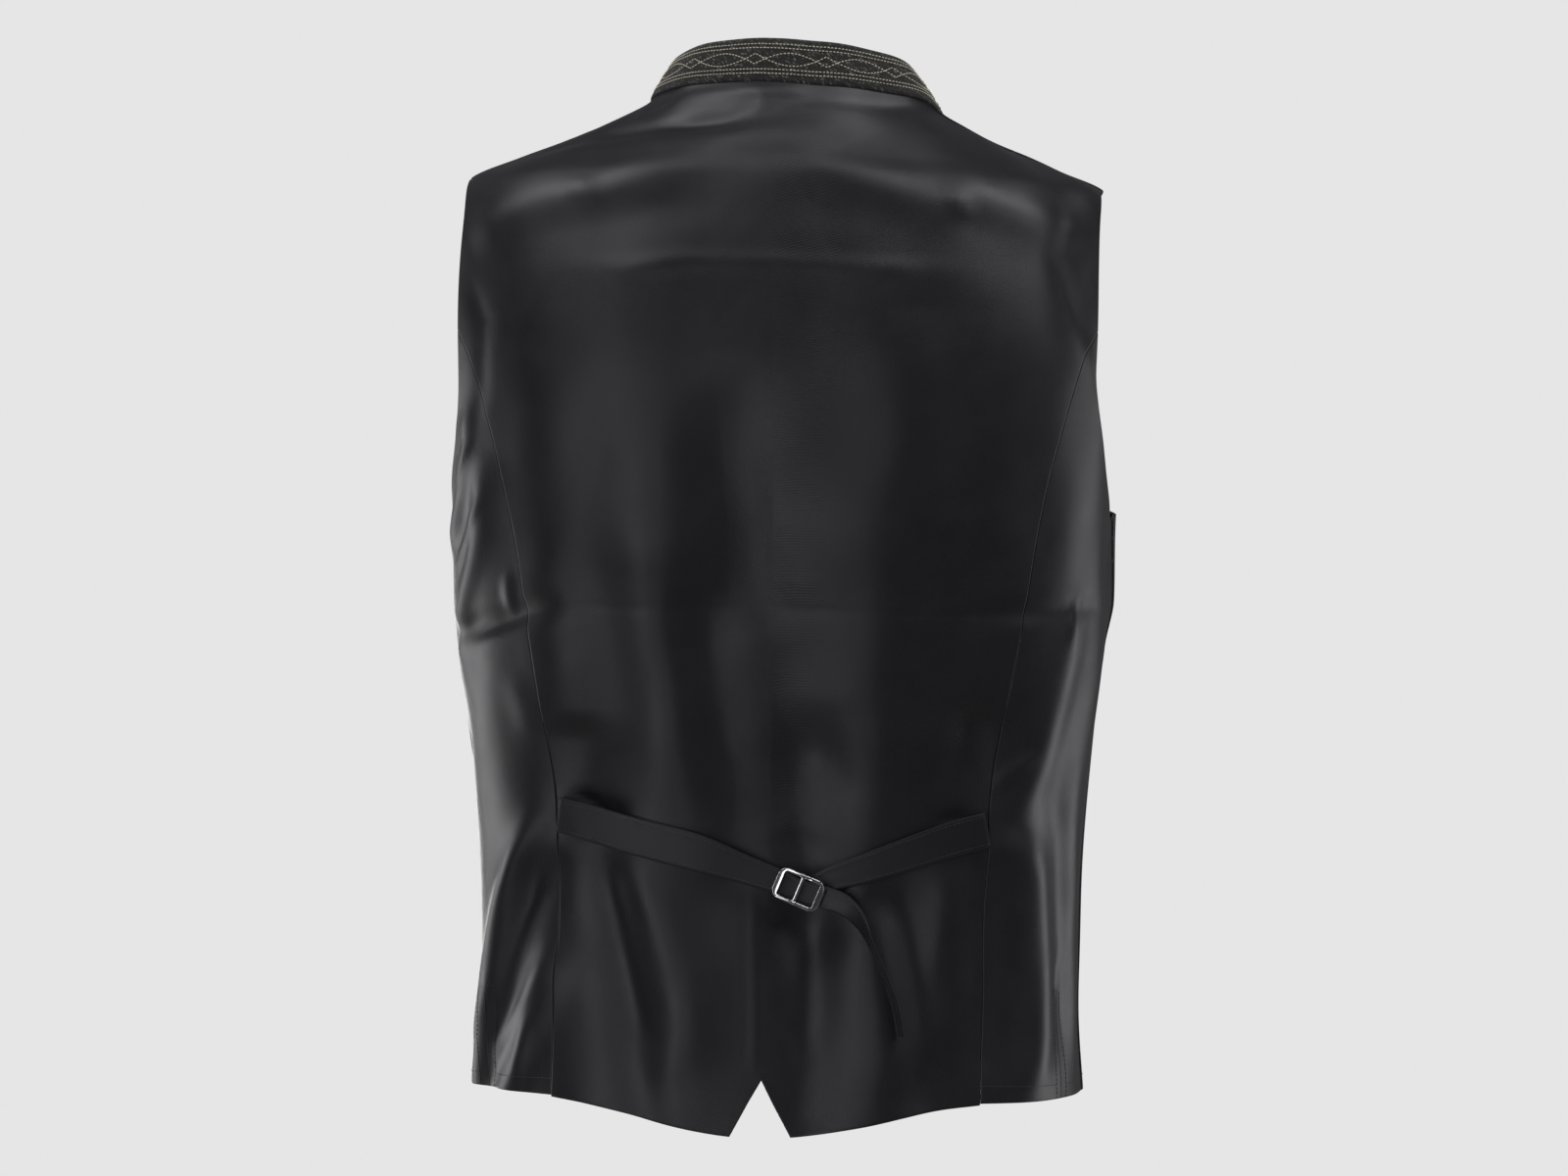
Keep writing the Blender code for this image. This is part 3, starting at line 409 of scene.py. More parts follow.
CREASES = (
    Crease(
        "left shoulder ridge",
        15,
        4.0,
        (
            (0.676, -92), (0.566, -77), (0.457, -68), (0.383, -64),
            (0.32, -58), (0.238, -50), (0.16, -36), (0.062, -12),
        ),
    ),
    Crease(
        "right shoulder ridge",
        15,
        4.0,
        (
            (0.062, -12), (-0.106, -43), (-0.204, -56), (-0.305, -69),
            (-0.378, -62), (-0.521, -75), (-0.683, -90),
        ),
    ),
    Crease("left shoulder step", 4, 1.2, ((0.395, -54), (0.375, -64), (0.345, -74))),
    Crease("right shoulder step", 4, 1.2, ((-0.33, -60), (-0.35, -70), (-0.37, -80))),
    Crease("hollow beside the neck", 7, -1.6, ((0.41, -22), (0.28, -18), (0.18, -20), (0.10, -24))),
    Crease("neck crease", 4, 1.4, ((0.202, 6.8), (0.111, 1.3), (0.08, -5.8), (0.101, -15.7), (0.117, -24.1))),
    Crease("shoulder nick", 2.5, 0.8, ((0.758, -7.3), (0.618, -13.6), (0.556, -19.2))),
    Crease(
        "blade edge",
        6,
        0.7,
        (
            (0.298, -131.5), (0.259, -114.3), (0.168, -106),
            (-0.02, -107.4), (-0.228, -111.3), (-0.265, -133.7),
        ),
    ),
    Crease(
        "left drag", 18, 3.4,
        ((0.242, -119), (0.227, -202), (0.213, -282), (0.171, -384), (0.133, -444)), 60,
    ),
    Crease("left drag's outer edge", 20, 2.4, ((0.42, -150), (0.43, -249), (0.41, -329), (0.40, -410)), 70),
    Crease("left drag's plain", 16, -1.0, ((0.33, -170), (0.32, -290), (0.28, -400)), 60),
    Crease(
        "right drag", 19, 4.2,
        ((-0.245, -132), (-0.25, -209), (-0.245, -302), (-0.23, -383), (-0.19, -428)), 50,
    ),
    Crease(
        "right drag's outer hollow", 19, -2.2,
        ((-0.35, -145), (-0.35, -236), (-0.34, -316), (-0.33, -400)), 70,
    ),
    Crease(
        "deep middle",
        14,
        -4.6,
        (
            (0.133, -176), (0.085, -263), (0.072, -302), (0.10, -340),
            (0.084, -400), (-0.002, -450), (-0.05, -475),
        ),
        80,
    ),
    Crease("centre hollow", 13, -2.4, ((0.006, -300), (-0.007, -356), (-0.022, -409), (-0.043, -455))),
    Crease("right waist hollow", 7, -1.6, ((-0.391, -366.3), (-0.442, -433.9))),
    Crease("right drag hollow", 6, -1.2, ((-0.143, -399.7), (-0.162, -465.9))),
    Crease("hollow under the buckle", 9, -2.2, ((-0.03, -447.9), (-0.093, -474.9))),
    Crease("deep middle", 16, -4.0, ((-0.02, -300), (-0.04, -380), (-0.06, -455)), 60),
    Crease("packing crease", 2.2, -0.35, ((0.443, -314.9), (-0.021, -317.1), (-0.487, -322))),
    Crease(
        "left skirt ridge",
        8,
        1.4,
        ((0.306, -468.1), (0.237, -504.5), (0.173, -561.9), (0.162, -576.8), (0.196, -613.8)),
    ),
    Crease("left skirt hollow", 6, -1.5, ((0.351, -468.3), (0.306, -527.8), (0.242, -588.9))),
    Crease("right outer ridge", 6, 1.6, ((-0.383, -475.4), (-0.358, -527), (-0.353, -550.2))),
    Crease("right skirt ridge", 7, 1.2, ((-0.20, -500), (-0.25, -552), (-0.27, -615))),
    Crease("right skirt hollow", 6, -1.2, ((-0.27, -485), (-0.32, -545), (-0.33, -590))),
    Crease("centre skirt hollow", 8, -2.2, ((-0.07, -500), (-0.095, -551), (-0.085, -600))),
    Crease("pressed middle", 1.8, 0.7, ((0.032, -485.9), (0.015, -604.6))),
    Crease("left armhole pull, high", 3, 1.1, ((0.73, -196.5), (0.735, -221.2), (0.806, -245.9))),
    Crease("left armhole pull, middle", 3, 1.3, ((0.644, -208.5), (0.705, -224.4), (0.778, -243))),
    Crease(
        "left armhole pull, low",
        4,
        1.6,
        ((0.606, -242.5), (0.675, -261.1), (0.759, -281.8), (0.817, -302.7)),
    ),
    Crease("left waist pull", 4, 1.4, ((0.555, -292.4), (0.549, -316.1), (0.529, -320.4))),
    Crease("left waist nip", 4, -2.0, ((0.498, -317.3), (0.541, -324.6), (0.648, -330.9), (0.738, -337.2))),
    Crease(
        "left side ridge",
        7,
        2.2,
        ((0.511, -440.2), (0.54, -451.3), (0.622, -483.1), (0.708, -510.3), (0.807, -549.9), (0.859, -597.8)),
    ),
    Crease(
        "left side second ridge",
        6,
        2.0,
        ((0.478, -520.7), (0.524, -541.3), (0.575, -561), (0.7, -591.8), (0.748, -611.7)),
    ),
    Crease("left side third ridge", 5, 1.8, ((0.556, -563.8), (0.579, -592.8), (0.612, -617.3))),
    Crease("left side hollow", 6, -1.8, ((0.526, -459.2), (0.573, -498.5), (0.682, -546.3), (0.774, -588))),
    Crease("right seam nip", 3.5, 1.6, ((-0.472, -429.8), (-0.501, -419), (-0.578, -403.6))),
    Crease(
        "right side hollow",
        8,
        -2.4,
        ((-0.452, -455), (-0.462, -481), (-0.47, -543), (-0.48, -581), (-0.485, -612)),
    ),
    Crease(
        "right side ridge",
        9,
        2.2,
        ((-0.55, -448.9), (-0.62, -480.9), (-0.66, -531.3), (-0.66, -580.9), (-0.62, -616)),
    ),
    Crease("right side foot", 8, 1.4, ((-0.53, -540), (-0.50, -580), (-0.48, -618))),
    Crease("right pleats", 3, 1.0, ((-0.687, -304), (-0.651, -322.1), (-0.64, -343.3))),
    Crease("crease to the slit", 2.5, -1.0, ((-0.767, -529.9), (-0.737, -561.4))),
    Crease("left waist sheen", 8, 1.2, ((0.563, -352.6), (0.532, -376.9), (0.515, -401.2))),
    Crease("gap over the left strap", 6, -3.4, ((0.45, -432), (0.37, -437), (0.29, -446)), 14),
    Crease("gap over the right strap", 7, -1.2, ((-0.44, -442), (-0.385, -446), (-0.34, -450)), 10),
    Crease("right shoulder pull", 6, -1.0, ((-0.62, -60), (-0.55, -95), (-0.6, -140), (-0.72, -190))),
    Crease("left shoulder pull", 6, -1.0, ((0.66, -110), (0.58, -140), (0.6, -180), (0.66, -215))),
    Crease("left chest pull", 7, 1.6, ((1.25, -275), (1.42, -300), (1.62, -320), (1.85, -330))),
    Crease("right chest pull", 7, 1.4, ((-1.25, -275), (-1.4, -305), (-1.6, -330), (-1.85, -345))),
    Crease("left front drape", 8, 1.8, ((1.2, -430), (1.28, -500), (1.3, -560), (1.27, -615))),
    Crease("right front drape", 8, 1.7, ((-1.22, -440), (-1.32, -505), (-1.36, -570), (-1.3, -615))),
    Crease("left front shoulder", 8, 1.5, ((1.3, -70), (1.42, -110), (1.48, -160))),
    Crease("right front shoulder", 8, 1.5, ((-1.3, -72), (-1.44, -115), (-1.5, -170))),
    Crease("left front waist", 6, -1.3, ((1.15, -395), (1.3, -402), (1.5, -398), (1.7, -404))),
    Crease("right front waist", 6, -1.3, ((-1.15, -400), (-1.34, -396), (-1.55, -405), (-1.75, -400))),
)


@dataclass(frozen=True)
class Ripple:
    """One of the low seeded waves that keep the cloth from looking ironed."""

    across: float
    down: float
    phase: float
    rise: float


def ripples(count: int, seed: int) -> tuple[Ripple, ...]:
    """Low waves that mostly run down the cloth.

    Args:
        count: How many waves.
        seed: The seed they come from.

    Returns:
        The waves, finer ones lower.
    """
    source = seeded(seed)
    made = []
    for _ in range(count):
        length = source.uniform(*RIPPLE_LENGTHS)
        slant = source.normal(0, RIPPLE_SLANT)
        turn = math.tau / length
        phase = source.uniform(0, math.tau)
        made.append(Ripple(turn * math.cos(slant), turn * math.sin(slant), phase, RIPPLE_RISE * length))
    return tuple(made)


# ---------------------------------------------------------------- the body form


@dataclass
class BodyForm:
    """The filled-out form that every wall lies on."""

    waves: tuple[Ripple, ...] = field(default_factory=lambda: ripples(9, 11))

    def __post_init__(self) -> None:
        """Makes the curves of the tables."""
        self.part = columns_of(SECTIONS, SECTION_FIELDS)
        self.lean = columns_of(LEANS, LEAN_FIELDS)
        self.seam = SmoothCurve([r[0] for r in BACK_SEAM], [r[1] for r in BACK_SEAM])
        self.back_armhole = SmoothCurve([r[0] for r in BACK_ARMHOLE], [r[1] for r in BACK_ARMHOLE])
        self.front_armhole = SmoothCurve([r[0] for r in FRONT_ARMHOLE], [r[1] for r in FRONT_ARMHOLE])
        self.hem = SmoothCurve([r[0] for r in BACK_HEM], [r[1] for r in BACK_HEM])

    def point(self, turn: Array, height: Array) -> Array:
        """Points of the form with no folds on it."""
        angle = turn * math.pi / 2
        across, along = np.sin(angle), np.cos(angle)
        power = self.part["squareness"](height)
        reach = (np.abs(across) ** power + np.abs(along) ** power) ** (-1 / power)
        side = -self.part["side"](height)
        depth = np.where(along >= 0, self.part["back"](height) - side, self.part["front"](height) + side)
        x = self.part["half_width"](height) * reach * across
        return np.stack([x, side + depth * reach * along, height + np.zeros_like(x)], -1)

    def normal(self, turn: Array, height: Array) -> Array:
        """The outward direction at each place of the form."""
        step_turn, step_height = 0.004, 0.8
        around = self.point(turn + step_turn, height) - self.point(turn - step_turn, height)
        upward = self.point(turn, height + step_height) - self.point(turn, height - step_height)
        return unit(np.cross(upward, around))

    def girth(self, height: Array) -> Array:
        """About how much cloth one unit of turn takes."""
        return GIRTH_SHARE * (self.part["half_width"](height) + self.part["back"](height))

    def rise(self, turn: Array, height: Array, fine: bool = True) -> Array:
        """How far the folds carry the cloth out from the form.

        Args:
            turn: Turn of each point.
            height: Height of each point.
            fine: Whether the finer creases and ripples count too.

        Returns:
            The outward rise at each point.
        """
        turn, height = np.broadcast_arrays(np.asarray(turn, float), np.asarray(height, float))
        girth = self.girth(height)
        total = np.zeros_like(turn)
        for fold in DOWN_FOLDS + CROSS_FOLDS:
            total = total + fold.at(turn, height, girth)
        if not fine:
            return total
        for crease in CREASES:
            total = total + crease.at(turn, height, girth, self.girth)
        across = turn * girth
        for wave in self.waves:
            total = total + wave.rise * np.sin(wave.across * across + wave.down * height + wave.phase)
        return total

    def leaned(self, points: Array) -> Array:
        """The points, carried along with the way the whole vest leans."""
        shift, roll, twist = (self.lean[name](points[..., 2]) for name in LEAN_FIELDS)
        x, y, z = (points[..., k] for k in range(3))
        return np.stack([x + shift + y * twist, y, z + x * roll], -1)

    def cloth(self, turn: Array, height: Array, out: Array | float = 0.0) -> Array:
        """Points of the folded cloth's inner face, or of a layer that lies further out."""
        out = np.asarray(self.rise(turn, height) + out)[..., None]
        return self.leaned(self.point(turn, height) + self.normal(turn, height) * out)

    def turn_at(self, reach: Array, height: Array) -> Array:
        """The turn at which the form reaches that far from the middle."""
        share = np.minimum(1.0, reach / self.part["half_width"](height))
        power = self.part["squareness"](height)
        depth = np.maximum(0.0, 1 - share**power) ** (1 / power)
        return np.arctan2(share, depth) * 2 / math.pi

    def seam_share(self, height: Array) -> Array:
        """Half the gap of a seam, as turn."""
        return SEAM_GAP / 2 / self.girth(height)

    def _fullness(self, at: Array) -> tuple[Array, Array, Array]:
        """How far out points lie, where 1 is on the form, and their shares across and along."""
        z = at[..., 2]
        power = self.part["squareness"](z)
        side = -self.part["side"](z)
        back, front = self.part["back"](z) - side, self.part["front"](z) + side
        across = at[..., 0] / self.part["half_width"](z)
        along = (at[..., 1] - side) / np.where(at[..., 1] < side, front, back)
        return (np.abs(across) ** power + np.abs(along) ** power) ** (1 / power), across, along

    def laid(self, points: Array) -> tuple[Array, Array]:
        """(turn, height) where lines from the body's core through the points meet the form."""
        core = np.zeros_like(points)
        core[..., 2] = np.minimum(points[..., 2], CORE_TOP)
        ray = points - core
        low, high = (np.full(points.shape[:-1], end) for end in RAY_RANGE)
        for _ in range(RAY_HALVINGS):
            middle = (low + high) / 2
            at = core + ray * middle[..., None]
            full, _, _ = self._fullness(at)
            outside = (full > 1) | (at[..., 2] > SECTIONS[0][0])
            high, low = np.where(outside, middle, high), np.where(outside, low, middle)
        level = ray[..., 2] < 1e-9
        found = np.where(level[..., None], points, core + ray * ((low + high) / 2)[..., None])
        _, across, along = self._fullness(found)
        turn = np.arctan2(across, along) * 2 / math.pi
        return np.where(turn < WRAP_TURN, turn + 4, turn), found[..., 2]


# ---------------------------------------------------------------- grids and walls


def divided(length: float, step: float, start: bool = True, end: bool = True) -> Array:
    """Shares that divide a length evenly, with closer lines where an edge is rounded.

    Args:
        length: The length that is divided.
        step: About how far apart the lines lie.
        start: Whether the first end has closer lines.
        end: Whether the last end has closer lines.

    Returns:
        Rising shares from 0 to 1.
    """
    close = np.array(ROUNDED_LINES)
    even = np.linspace(0, length, max(2, round(length / step)) + 1)
    if start:
        even = np.concatenate([even[:1], close, even[even > close[-1] + ROUNDED_CLEAR]])
    if end:
        even = even[even < length - close[-1] - ROUNDED_CLEAR]
        even = np.concatenate([even, length - close[::-1], [length]])
    return even / length


def by_length(form: BodyForm, curve: Curve, shares: Array) -> Array:
    """(turn, height) of points of a curve, at those shares of its length.

    Args:
        form: The body form the curve lies on.
        curve: Gives turns and heights at parameters from 0 to 1.
        shares: Shares of the curve's length.

    Returns:
        One row of turn and height for each share.
    """
    turn, height = curve(np.linspace(0, 1, CURVE_SAMPLES))
    turn, height = np.broadcast_arrays(turn, height)
    steps = np.linalg.norm(np.diff(form.point(turn, height), axis=0), axis=-1)
    lengths = np.concatenate([[0], np.cumsum(steps)])
    goal = shares * lengths[-1]
    return np.stack([np.interp(goal, lengths, turn), np.interp(goal, lengths, height)], -1)


def patch(
    form: BodyForm, lower: Array, upper: Array, inner: Array, outer: Array, u: Array, v: Array
) -> tuple[Array, Array]:
    """(turn, height) of every point of a panel's grid, from its four edges.

    Args:
        form: The body form.
        lower: Points of the lower edge, one row of (turn, height) for each column.
        upper: Points of the upper edge.
        inner: Points of the first side edge, one for each row.
        outer: Points of the last side edge.
        u: Shares of the columns.
        v: Shares of the rows.

    Returns:
        Turns and heights by column and row.
    """
    bottom, top = form.point(*lower.T)[:, None], form.point(*upper.T)[:, None]
    first, last = form.point(*inner.T)[None], form.point(*outer.T)[None]
    a, b = u[:, None, None], v[None, :, None]
    corners = (bottom[:1] * (1 - a) + bottom[-1:] * a) * (1 - b) + (top[:1] * (1 - a) + top[-1:] * a) * b
    flat = first * (1 - a) + last * a + bottom * (1 - b) + top * b - corners
    turn, height = form.laid(flat)
    for found, k in ((turn, 0), (height, 1)):
        found[:, 0], found[:, -1] = lower[:, k], upper[:, k]
        found[0, :], found[-1, :] = inner[:, k], outer[:, k]
    return turn, height


@dataclass
class ClothGrid:
    """The inner face of a wall by column and row, with its outward direction and thickness."""

    points: Array
    thick: Array
    lift: Array
    outward: Array = field(init=False)
    across: Array = field(init=False)
    along: Array = field(init=False)

    def __post_init__(self) -> None:
        """Works out directions, and how much cloth lies before each point."""
        around = np.gradient(self.points, axis=0)
        upward = np.gradient(self.points, axis=1)
        self.outward = unit(np.cross(upward, around))
        if np.sum(self.outward * (self.points * LEVEL)) < 0:
            self.outward = -self.outward
        steps = np.linalg.norm(np.diff(self.points, axis=0), axis=-1)
        self.across = np.concatenate([np.zeros((1, steps.shape[1])), np.cumsum(steps, 0)])
        steps = np.linalg.norm(np.diff(self.points, axis=1), axis=-1)
        self.along = np.concatenate([np.zeros((steps.shape[0], 1)), np.cumsum(steps, 1)], axis=1)

    def outer(self, columns: Array, rows: Array, out: float = 0.0) -> tuple[Array, Array]:
        """Points a little over the outer face, at places between the grid's lines.

        Args:
            columns: Column of each point, whole or between.
            rows: Row of each point, whole or between.
            out: How far over the face they lie.

        Returns:
            The points and the outward directions there.
        """
        face = self.points + self.outward * (self.lift + self.thick)[..., None]
        i = np.clip(columns.astype(int), 0, face.shape[0] - 2)
        j = np.clip(rows.astype(int), 0, face.shape[1] - 2)
        a, b = (columns - i)[:, None], (rows - j)[:, None]

        def read(grid: Array) -> Array:
            """The grid's value between its four nearest points."""
            near = grid[i, j] * (1 - b) + grid[i, j + 1] * b
            return near * (1 - a) + (grid[i + 1, j] * (1 - b) + grid[i + 1, j + 1] * b) * a

        outward = unit(read(self.outward))
        return read(face) + outward * out, outward


@dataclass(frozen=True)
class Slit:
    """A cut from the hem up along one column of a grid."""

    column: int
    rows: int
    opening: float
    ease: float = 13.0


@dataclass(frozen=True)
class EdgeShape:
    """How a wall's edge is rounded: its thickness there, as a share, and over how many millimetres."""

    share: float
    width: float


SEAM_EDGE = EdgeShape(0.5, 0.45)
HEM_EDGE = EdgeShape(0.75, 1.2)


def edge_distance(grid: Array, side: int, last: bool) -> Array:
    """How far each point lies from one edge of its grid, measured along the cloth.

    Args:
        grid: Points by column and row.
        side: 0 for the edges that columns start and end at, 1 for those of the rows.
        last: Whether the last edge is meant.

    Returns:
        The distance at each point.
    """
    steps = np.linalg.norm(np.diff(grid, axis=side), axis=-1)
    if last:
        steps = np.flip(steps, side)
    zero = np.zeros_like(np.take(steps, [0], side))
    far = np.concatenate([zero, np.cumsum(steps, side)], side)
    return np.flip(far, side) if last else far


def wall_mesh(name: str, grid: ClothGrid, slit: Slit | None = None) -> bpy.types.Mesh:
    """A closed wall: the grid's inner face, its outer face and the rim that joins them.

    Args:
        name: The mesh's name.
        grid: The wall's grid.
        slit: A cut from the hem up, if it has one.

    Returns:
        The mesh, in metres, with the cloth's own coordinates as an attribute.
    """
    columns, rows = grid.points.shape[:2]
    index = np.arange(columns * rows).reshape(columns, rows)
    inner = (grid.points + grid.outward * grid.lift[..., None]).reshape(-1, 3)
    outer = (grid.points + grid.outward * (grid.lift + grid.thick)[..., None]).reshape(-1, 3)
    cloth = np.stack([grid.across, grid.along, np.zeros_like(grid.along)], -1).reshape(-1, 3)
    left = index.copy()
    if slit:
        cut = index[slit.column, : slit.rows]
        left[slit.column, : slit.rows] = len(inner) + np.arange(slit.rows)
        extra = [layer[cut] for layer in (inner, outer, cloth)]
        inner, outer, cloth = (np.concatenate([a, b]) for a, b in zip((inner, outer, cloth), extra))
        widen_slit(grid, slit, index, left, (inner, outer))
    a, b = index[:-1, :-1], left[1:, :-1]
    c, d = left[1:, 1:], index[:-1, 1:]
    faces = np.stack([a, b, c, d], -1).reshape(-1, 4)
    count = len(inner)
    probe = np.cross(outer[faces[:, 1]] - outer[faces[:, 0]], outer[faces[:, 3]] - outer[faces[:, 0]])
    if np.sum(probe * (outer - inner)[faces[:, 0]]) < 0:
        faces = faces[:, ::-1]
    edges = np.concatenate([faces[:, [k, (k + 1) % 4]] for k in range(4)])
    key = np.sort(edges, axis=1)
    _, where, times = np.unique(key, axis=0, return_index=True, return_counts=True)
    border = edges[where[times == 1]]
    rim = np.stack([border[:, 1], border[:, 0], border[:, 0] + count, border[:, 1] + count], -1)
    # the inner face comes first, turned inward; then the outer face; then the rim
    every = np.concatenate([faces[:, ::-1], faces + count, rim])
    mesh = bpy.data.meshes.new(name)
    mesh.from_pydata((np.concatenate([inner, outer]) * MM).tolist(), [], every.tolist())
    mesh.update()
    laid = mesh.attributes.new("cloth_mm", "FLOAT_VECTOR", "POINT")
    laid.data.foreach_set("vector", np.concatenate([cloth, cloth]).astype(np.float32).ravel())
    mesh.shade_smooth()
    mesh.set_sharp_from_angle(angle=SHARP_ANGLE)
    return mesh


def widen_slit(grid: ClothGrid, slit: Slit, index: Array, left: Array, layers: tuple[Array, Array]) -> None:
    """Draws the two sides of a slit apart, most at the hem, and moves the cloth beside them along.

    Args:
        grid: The wall's grid.
        slit: The cut.
        index: Point number by column and row, for the cloth on the far side of the cut.
        left: The same, with the near side's own points on the cut.
        layers: Inner and outer points, changed in place.
    """
    reach = round(slit.ease / max(0.5, float(np.diff(grid.across[:, 0]).mean())))
    for row in range(slit.rows):
        open_here = slit.opening * (1 - row / slit.rows) / 2 + SLIT_LEAST
        line = grid.across[slit.column, row]
        for hand in (-1, 1):
            for step in range(reach + 1):
                column = slit.column + hand * step
                if not 0 <= column < index.shape[0]:
                    continue
                source = left if hand < 0 and step == 0 else index
                far = abs(grid.across[column, row] - line)
                move = open_here * max(0.0, 1 - far / slit.ease)
                tangent = unit(grid.points[slit.column + 1, row] - grid.points[slit.column - 1, row])
                for layer in layers:
                    layer[source[column, row]] += tangent * hand * move


# ---------------------------------------------------------------- thread


@dataclass(frozen=True)
class StitchShape:
    """The size of one stitch and its spacing, in millimetres."""

    length: float
    pitch: float
    radius: float
    arch: float


FINE_STITCH = StitchShape(2.1, 2.7, 0.2, 0.22)
ORNAMENT_STITCH = StitchShape(1.62, 2.3, 0.33, 0.28)
BUTTONHOLE_STITCH = StitchShape(2.6, 0.8, 0.3, 0.35)


class ThreadWork:
    """Stitches that are gathered and made as one mesh."""

    RINGS = (0.0, 0.12, 0.35, 0.65, 0.88, 1.0)
    SIDES = 6
    SINK = 0.7
    TAPER = 0.55
    FLATNESS = 0.85
    END_POWER = 6

    def __init__(self) -> None:
        """Starts with no stitches."""
        self.starts: list[Array] = []
        self.ends: list[Array] = []
        self.outwards: list[Array] = []
        self.radii: list[Array] = []
        self.arches: list[Array] = []

    def add(self, starts: Array, ends: Array, outward: Array, shape: StitchShape) -> None:
        """Adds stitches.

        Args:
            starts: Where each one comes out of the cloth.
            ends: Where it goes in again.
            outward: The direction away from the cloth.
            shape: The stitch's size.
        """
        self.starts.append(starts)
        self.ends.append(ends)
        self.outwards.append(outward)
        self.radii.append(np.full(len(starts), shape.radius))
        self.arches.append(np.full(len(starts), shape.arch))

    def run(self, line: Array, outward: Array, shape: StitchShape) -> None:
        """Adds a row of stitches along a line.

        Args:
            line: Points of the line, close together.
            outward: The direction away from the cloth at each point.
            shape: The stitch's size and spacing.
        """
        steps = np.linalg.norm(np.diff(line, axis=0), axis=-1)
        lengths = np.concatenate([[0], np.cumsum(steps)])
        count = int(lengths[-1] / shape.pitch)
        if count < 1:
            return
        begin = np.arange(count) * (lengths[-1] / count)

        def read(values: Array, at: Array) -> Array:
            """The values at those lengths along the line."""
            return np.stack([np.interp(at, lengths, values[:, k]) for k in range(3)], -1)

        self.add(read(line, begin), read(line, begin + shape.length), unit(read(outward, begin)), shape)

    def follow(self, grid: ClothGrid, columns: Array | float, rows: Array | float, out: float) -> None:
        """Adds a row of fine stitches over a wall.

        Args:
            grid: The wall's grid.
            columns: Column of each point of the row, or one for all.
            rows: Row of each point, or one for all.
            out: How far over the face the stitches lie.
        """
        places = (place.astype(float) for place in np.broadcast_arrays(columns, rows))
        self.run(*grid.outer(*places, out), FINE_STITCH)

    def mesh(self, name: str) -> bpy.types.Mesh:
        """All stitches as one mesh of short arched tubes.

        Args:
            name: The mesh's name.

        Returns:
            The mesh, in metres.
        """
        start, end = np.concatenate(self.starts), np.concatenate(self.ends)
        outward = unit(np.concatenate(self.outwards))
        radius = np.concatenate(self.radii)[:, None, None]
        arch = np.concatenate(self.arches)[:, None, None]
        side = unit(np.cross(outward, end - start))
        t = np.array(self.RINGS)[None, :, None]
        middle = start[:, None] * (1 - t) + end[:, None] * t
        end_share = (2 * t - 1) ** self.END_POWER
        middle = middle + outward[:, None] * (arch * np.sin(math.pi * t) - radius * self.SINK * end_share)
        width = radius * (1 - self.TAPER * end_share)
        angle = np.arange(self.SIDES) * math.tau / self.SIDES
        ring = (
            side[:, None, None] * np.cos(angle)[None, None, :, None]
            + outward[:, None, None] * np.sin(angle)[None, None, :, None] * self.FLATNESS
        )
        points = middle[:, :, None] + ring * width[..., None]
        many, rings, sides = points.shape[:3]
        index = np.arange(many * rings * sides).reshape(many, rings, sides)
        wrapped = np.roll(index, -1, axis=2)
        tube = np.stack([index[:, :-1], wrapped[:, :-1], wrapped[:, 1:], index[:, 1:]], -1).reshape(-1, 4)
        caps = np.concatenate([index[:, 0, ::-1], index[:, -1]]).tolist()
        mesh = bpy.data.meshes.new(name)
        mesh.from_pydata((points.reshape(-1, 3) * MM).tolist(), [], tube.tolist() + caps)
        mesh.update()
        mesh.shade_smooth()
        return mesh


# ---------------------------------------------------------------- finishes


class Finish(Enum):
    """The finishes of the vest's pieces, each named as the record's slot."""

    SATIN = "satin"
    WOOL = "wool"
    COLLAR_WOOL = "collar_wool"
    STRAP_SATIN = "strap_satin"
    BUCKLE_METAL = "buckle_metal"
    BUTTON_HORN = "button_horn"


